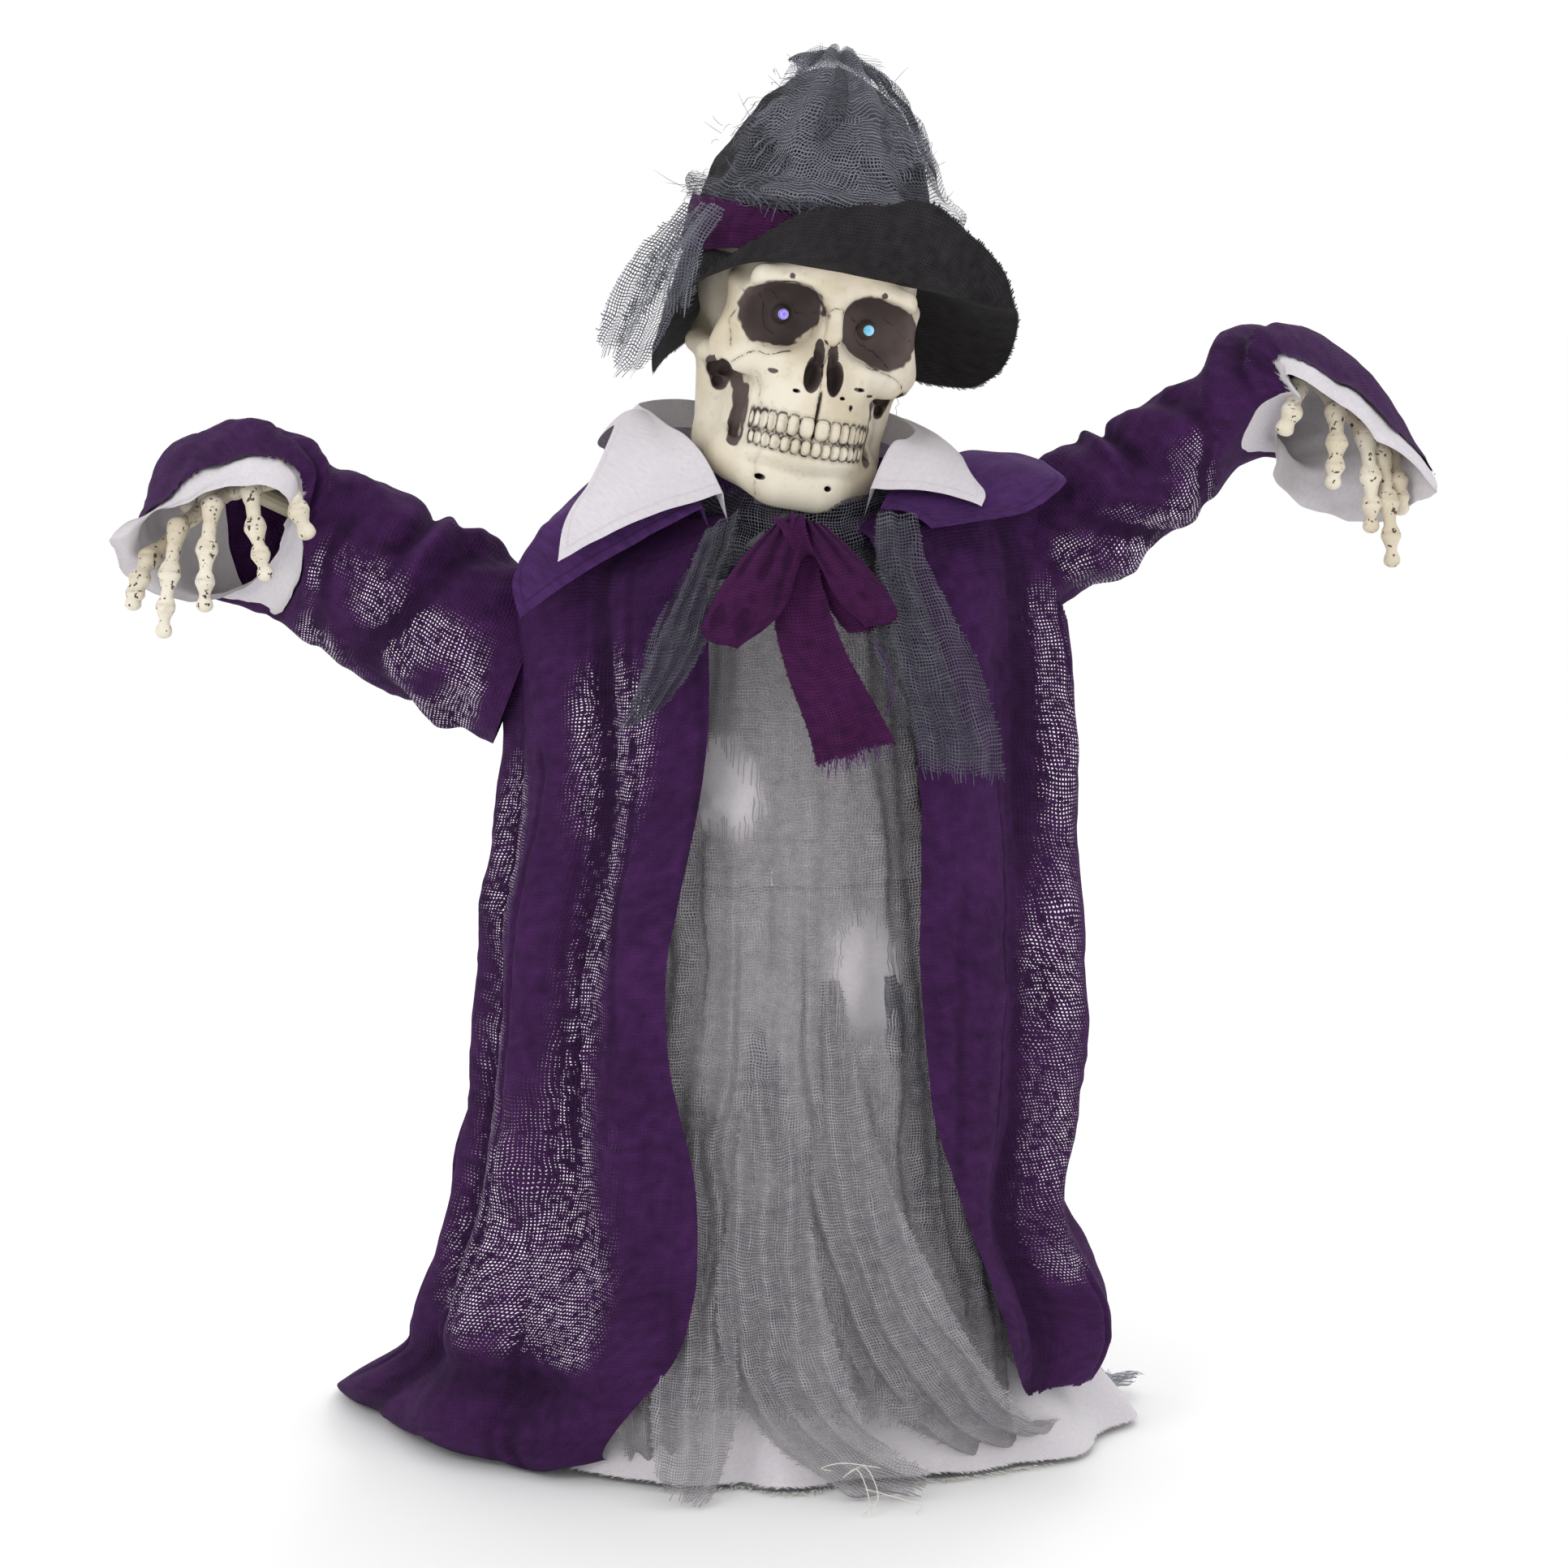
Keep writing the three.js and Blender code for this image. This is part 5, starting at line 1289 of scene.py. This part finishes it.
def white_front():
    """The plain white cloth behind the gauze, over the chest."""
    rows, columns = 90, 140
    v = np.linspace(1, 0, rows)[:, None]
    phi = np.radians(np.linspace(-74, 74, columns))[None, :]
    z = mix(392, 588, v)
    rx, ry = mix(104, 88, v), mix(76, 60, v)
    flat = stack(rx * np.sin(phi), 10 - ry * np.cos(phi), z)
    bulge = 2.2 * noise(flat * [1, 1, 0.4], 28, 66) + 1.2 * noise(flat, 12, 67) - 1.5
    obj = cloth("white_front", stack((rx + bulge) * np.sin(phi), 10 - (ry + bulge) * np.cos(phi), z), COTTON,
                "stand", "white_cloth")
    declare(obj)


def underskirt():
    """The white lining skirt, from under the chest case to the floor."""
    rows, columns = 150, 360
    v = np.linspace(1, 0, rows)[:, None]
    angle = np.linspace(0, 2 * math.pi, columns, endpoint=False)[None, :]
    down = 1 - v
    grow = mix(1.66, 0.97, v ** 0.7)
    flare = smooth(0.9, 1, down)
    z = 424 * v + 1.6
    # the hem runs out over the floor, furthest to the figure's left and a little at its front right corner
    out = (hump(np.degrees(angle), 318, 17) * 26 + hump(np.degrees(angle), 0, 24) * 4
           + hump(np.degrees(angle), 360, 24) * 4
           + hump(np.degrees(angle), 108, 36) * 84 + hump(np.degrees(angle), 62, 16) * 24)
    base = stack(100 * grow * np.sin(angle), 14 - 72 * grow * np.cos(angle), z)
    drift = noise(base * [1, 1, 0.4], 60, 71)
    depth = mix(2, 7, down)
    fold = np.sin(12 * angle + 2.5 * drift) * depth * 0.7
    fold = fold + 2.5 * noise(base, 30, 72) + 0.8 * noise(base, 10, 73)
    run = smooth(0.62, 1, down) ** 1.6 * out
    size_x, size_y = 100 * grow + fold + run, 72 * grow + fold + run * 0.8
    points = stack(size_x * np.sin(angle), 14 - size_y * np.cos(angle),
                   z + 3.5 * flare * (1 + noise(base, 30, 74)) * 0.5)
    points[..., 1] = np.maximum(points[..., 1], -146)
    points[..., 0] = np.minimum(points[..., 0], 262)
    obj = cloth("lining_skirt_cloth", points, COTTON, "stand", "white_cloth", wrap=True, end="last")
    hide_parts("lining_skirt")
    declare(obj)

    # fluffy raw hem and the long loose threads in front
    rng = np.random.default_rng(5)
    threads = []
    rim = points[-1]
    for _ in range(520):
        i = int(rng.integers(0, columns))
        degrees = math.degrees(angle[0, i])
        if not (degrees > 330 or degrees < 62):
            continue
        x, y, _ = rim[i]
        outward = np.array([math.sin(angle[0, i]), -math.cos(angle[0, i]), 0])
        size = 3 + 6 * rng.random()
        side = np.array([outward[1], -outward[0], 0]) * rng.normal() * 2.5
        start = np.array([x, y, 1.6]) - outward * 2
        threads.append(np.array([start, start + outward * size * 0.5 + side * 0.4, start + outward * size
                                 + side + [0, 0, -0.6]]))
    threads = [np.column_stack([p[:, 0], np.maximum(p[:, 1], FRONT_LIMIT), np.maximum(p[:, 2], 0.8)])
               for p in threads]
    long_ones = [
        [(38, -141, 22), (46, -148, 30), (52, -151, 20), (56, -153, 2)],
        [(40, -141, 24), (52, -147, 31), (60, -150, 12), (50, -154, 1)],
        [(52, -146, 16), (70, -149, 12), (88, -146, 5), (84, -150, 1)],
        [(30, -140, 26), (24, -146, 30), (38, -148, 34), (62, -146, 30)],
    ]
    for line in long_ones:
        threads.append(keyed(np.column_stack([np.linspace(0, 1, len(line)), line]), np.linspace(0, 1, 22)))
    strands("hem_threads", threads, 0.38, THREADS["white_thread"], "stand", "white_cloth")


# ---------------------------------------------------------------- hat
BRIM = [  # degrees round from the front, then x, y, z of the rim
    (-180, 0, 126, 116), (-150, -44, 112, 96), (-125, -72, 70, 78), (-105, -84, 34, 74), (-88, -92, 4, 92),
    (-70, -92, -34, 116),
    (-50, -80, -72, 150), (-25, -38, -106, 190), (0, 6, -117, 205), (22, 46, -112, 211), (45, 90, -92, 194),
    (65, 126, -60, 164),
    (85, 141, -8, 122), (103, 132, 30, 99), (125, 100, 74, 98), (150, 52, 112, 106), (180, 0, 126, 116),
]


def hat():
    """Brim, crown, band, the gauze over the crown with its hanging tails, and its loose threads."""
    rows, columns = 46, 320
    degrees = np.linspace(-180, 180, columns, endpoint=False)[None, :]
    rim = keyed(BRIM, degrees)
    t = np.radians(degrees)
    inner = stack(81 * np.sin(t), 5 - 94 * np.cos(t), 162 - 2 * np.abs(np.sin(t)) - 2 * np.cos(t))
    r = np.linspace(0, 1, rows)[:, None, None]
    points = inner + (rim - inner) * r
    droop = np.array([0.0, 0.0, 1.0]) * (mix(12, -9, smooth(-0.1, 0.7, np.cos(t)))
                                         * np.sin(math.pi * r[..., 0]))[..., None]
    points = points + droop
    ripple = r[..., 0] * (3.2 * noise(stack(t * 90, 40 * r[..., 0], 0 * t), 34, 81)
                          + 1.2 * noise(stack(t * 90, 40 * r[..., 0], 0 * t), 12, 82))
    crease = -6 * hump(degrees, 62, 5) * smooth(0.15, 0.9, r[..., 0])
    points[..., 2] += ripple + crease
    points[..., 1] += 0.5 * ripple
    brim = cloth("brim_cloth", points, FELTED, "head", "black_cloth", wrap=True, end="last", matrix=HEAD)
    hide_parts("hat_brim")
    declare(brim)

    def bag(profile, fold, seed, rows=120, columns=260, lean=8):
        """A cap of revolution whose profile is radius and z, with folds, leaning to one side at the top."""
        v = np.linspace(0, 1, rows)[:, None]
        a = 2 * math.pi * np.arange(columns)[None, :] / columns
        line = keyed(profile, v)
        radius, z = line[..., 0], line[..., 1]
        base = stack(radius * np.sin(a), -radius * np.cos(a), z + 0 * a)
        bulge = fold(base, a, v, seed)
        radius = radius + bulge
        x = 0.95 * radius * np.sin(a) - lean * np.clip((z - 190) / 116, 0, 1.3) ** 1.3
        points = stack(x, 5 - 1.1 * radius * np.cos(a), z + 0.35 * bulge + 0 * a)
        return points, a, v

    def crumple(base, a, v, seed):
        return (5.5 * noise(base, 46, seed) + 2.8 * noise(base, 20, seed + 1)
                + 1.2 * noise(base, 9, seed + 2)) * smooth(0.02, 0.25, v)

    profile = [(0, 84, 164), (0.14, 81, 186), (0.32, 74, 212), (0.52, 61, 238), (0.72, 42, 264),
               (0.88, 22, 282), (1, 0.6, 289)]
    points, a, v = bag(profile, crumple, 83)
    crown = cloth("crown_cloth", points, FELTED, "head", "black_cloth", wrap=True, matrix=HEAD)
    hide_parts("hat_crown")
    declare(crown)

    profile = [(0, 88, 155), (0.3, 88.5, 167), (0.7, 88, 182), (1, 86.5, 194)]
    points, a, v = bag(profile, lambda base, a, v, seed: 1.4 * noise(base * [1, 1, 2.2], 20, seed), 86,
                       rows=36, lean=0)
    points[..., 2] += 2.5 * noise(points, 40, 87) * v + 8 * smooth(-0.35, 0.35, np.cos(a - 0.5)) * (1 - v)
    band = cloth("hat_band_cloth", points, BAND, "head", "purple_cloth", wrap=True, end="last", matrix=HEAD)
    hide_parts("hat_band")
    declare(band)

    # gauze pulled over the crown: long folds up the front, a puffed roll round the foot
    def swathe(base, a, v, seed):
        front = smooth(0.2, 0.95, np.cos(a - 0.1))
        long_folds = 5.0 * np.sin(11 * a + 3 * noise(base, 60, seed)) * smooth(0.1, 0.5, v)
        foot = 9 * hump(v, 0.12, 0.09) * (0.55 + 0.6 * noise(base, 34, seed + 4))
        right = 10 * hump(v, 0.24, 0.12) * hump(a, math.pi / 2, 0.8)
        fine = 3.4 * noise(base, 19, seed + 1) + 1.5 * noise(base, 8, seed + 2)
        return long_folds + foot + right + 6 * front * hump(v, 0.62, 0.25) + fine

    profile = [(0, 87, 188), (0.14, 88, 199), (0.34, 79, 218), (0.54, 66, 243), (0.74, 45, 270),
               (0.9, 23, 290), (1, 0.6, 296)]
    points, a, v = bag(profile, swathe, 90, rows=150, columns=320)
    spread = np.cos(a - 0.12)
    torn = np.clip((spread - 0.15 + 0.22 * noise(points, 30, 91)) * 0.05, -0.01, 1)
    torn = torn + 0.03 * hump(v, 0.1, 0.1) + 0.02 * (v > 0.85)
    rows_down = lengths(points, 0) * MM
    over = cloth("crown_gauze", points, VEIL, "head", "grey_gauze", wrap=True,
                 end=np.minimum(rows_down + 0.004, np.maximum(torn, 0.0)), matrix=HEAD)
    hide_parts("hat_gauze")
    declare(over)
    veil_points, a, _ = bag([(k, r + 3.5, z + 2.5) for k, r, z in profile], swathe, 97, rows=130, columns=280)
    lobe = np.clip((np.cos(a + 0.12) - 0.62 + 0.2 * noise(veil_points, 26, 98)) * 0.05, 0, 1)
    veil = cloth("crown_veil", veil_points, GAUZE, "head", "grey_gauze", wrap=True,
                 end=np.minimum(lobe, lengths(veil_points, 0) * MM + 0.002), matrix=HEAD)
    declare(veil)
    tails = (
        ("gauze_tail_1", [(-84, -40, 186), (-97, -44, 160), (-101, -36, 132), (-104, -24, 104),
                          (-108, -14, 80), (-112, -8, 66)],
         [10, 15, 19, 18, 14, 9], (0.75, -0.6, 0.1), 101),
        ("gauze_tail_2", [(-88, -20, 184), (-102, -22, 156), (-112, -16, 128), (-118, -8, 100),
                          (-120, 0, 78)], [9, 15, 18, 15, 9],
         (0.8, -0.5, 0.2), 102),
        ("gauze_tail_3", [(-80, -56, 186), (-92, -60, 162), (-93, -52, 138), (-90, -40, 112)],
         [8, 12, 14, 10], (0.8, -0.55, 0), 103),
    )
    for name, path, widths, across, seed in tails:
        _, finish = ribbon(name, path, widths, GAUZE, "head", "grey_gauze", across=across, folds=(3.2, 13),
                           seed=seed, rows=90, columns=50, ripple=2.4)
        tail = finish(matrix=HEAD)
        declare(tail)

    # fuzz of broken threads at the top, the foot and below the brim
    rng = np.random.default_rng(9)
    threads = []
    for _ in range(260):
        i, j = int(rng.integers(4, 140)), int(rng.integers(0, 320))
        start = points[i, j]
        if rng.random() < 0.55:
            i = int(rng.integers(0, 14))
            start = points[i, j]
        away = start - np.array([0, 5, 215.0])
        away /= np.linalg.norm(away)
        size = 2.5 + 5 * rng.random()
        bend = rng.normal(size=3) * 0.6
        threads.append(np.array([start, start + (away + bend * 0.3) * size * 0.4,
                                 start + (away + bend) * size * 0.75,
                                 start + (away * 0.8 + bend * 1.6) * size]))
    for x, y, z, drop in ((62, 100, 100, 40), (66, 98, 100, 52), (30, 110, 103, 26), (96, 78, 98, 30)):
        line = [np.array([x, y, z], float)]
        for _ in range(12):
            line.append(line[-1] + np.array([rng.normal() * 1.6, rng.normal() * 1.2, -drop / 12]))
        threads.append(np.array(line))
    strands("gauze_fuzz", threads, 0.16, THREADS["grey_thread"], "head", "grey_gauze", matrix=HEAD)


# ---------------------------------------------------------------- light, floor and camera
def area_light(name, where, aim, size, power, colour=(1, 1, 1)):
    data = bpy.data.lights.new(name, "AREA")
    data.shape, data.size, data.energy, data.color = "DISK", size, power, colour
    light = bpy.data.objects.new(name, data)
    bpy.context.scene.collection.objects.link(light)
    light.location = where
    light.rotation_euler = (Vector(aim) - Vector(where)).to_track_quat("-Z", "Y").to_euler()


def studio():
    world = bpy.data.worlds.new("studio")
    bpy.context.scene.world = world
    world.use_nodes = True
    world.node_tree.nodes["Background"].inputs["Color"].default_value = (1, 1, 1, 1)
    world.node_tree.nodes["Background"].inputs["Strength"].default_value = WORLD_GLOW
    area_light("key", (-1.6, -2.2, 2.3), (0, 0, 0.55), 1.1, 17)
    area_light("fill", (2.0, -1.7, 1.3), (0, 0, 0.5), 1.4, 4)
    area_light("rim", (0.8, 1.8, 2.0), (0, 0, 0.6), 1.0, 10)
    bpy.context.scene.view_settings.view_transform = "Standard"

    def pale():
        cloud = wave(objects(), 1.5, 2)
        return dict(Base_Color=blend(cloud, (0.965, 0.965, 0.965, 1), (0.98, 0.98, 0.98, 1)), Roughness=0.7)

    square = ((-1, -1), (1, -1), (1, 1), (-1, 1))
    corners = np.array([(i * FLOOR_SIZE, j * FLOOR_SIZE, -FLOOR) for i, j in square])
    floor = build("floor", corners, np.array([[0, 1, 2, 3]]), material("pale_floor", pale), None, None)


FINISHES = {  # colour, roughness, metal, how fine and how deep the grain is
    "steel": (srgb(150, 152, 156), 0.34, 1.0, 1400, 0.00006),
    "case_plastic": (srgb(34, 33, 36), 0.55, 0.0, 1500, 0.00012),
    "gear_plastic": (srgb(222, 218, 208), 0.42, 0.0, 900, 0.00006),
    "bone_plastic": (srgb(214, 204, 178), 0.5, 0.0, 500, 0.0002),
    "brass": (srgb(190, 152, 84), 0.3, 1.0, 1200, 0.00005),
    "board": (srgb(30, 92, 56), 0.4, 0.0, 600, 0.0001),
    "battery": (srgb(44, 44, 50), 0.28, 0.4, 700, 0.00005),
    "red_plastic": (srgb(176, 38, 30), 0.22, 0.0, 900, 0.00005),
    "lamp": (srgb(170, 190, 235), 0.12, 0.0, 700, 0.00004),
    "purple_cloth": (srgb(64, 30, 78), 0.9, 0.0, 700, 0.0003),
    "grey_gauze": (srgb(130, 130, 140), 0.9, 0.0, 700, 0.0003),
    "white_cloth": (srgb(220, 216, 220), 0.9, 0.0, 700, 0.0003),
    "black_cloth": (srgb(36, 35, 38), 0.9, 0.0, 700, 0.0003),
}


def carried_over():
    """Gives every node of the frame the finish of its material slot."""
    made = {}
    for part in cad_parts.values():
        for place in part.material_slots:
            slot = next((name for name in FINISHES if name in place.material.name), "steel")
            if slot not in made:
                made[slot] = moulded(f"frame_{slot}", *FINISHES[slot])
            place.material = made[slot]


def camera():
    """A long lens in front of the figure, level with its face and looking slightly down."""
    data = bpy.data.cameras.new("camera")
    data.sensor_width, data.lens = 36, 80.87
    view = bpy.data.objects.new("camera", data)
    bpy.context.scene.collection.objects.link(view)
    view.location = (0, -2.3, 0.8)
    view.rotation_euler = (math.radians(90 - 8.68), 0, 0)
    bpy.context.scene.camera = view


carried_over()
skull()
eyes()
for side in SIDES:
    hand(side)
    sleeves(side)
coat()
collars()
neckwear()
dress()
white_front()
underskirt()
hat()
studio()
camera()
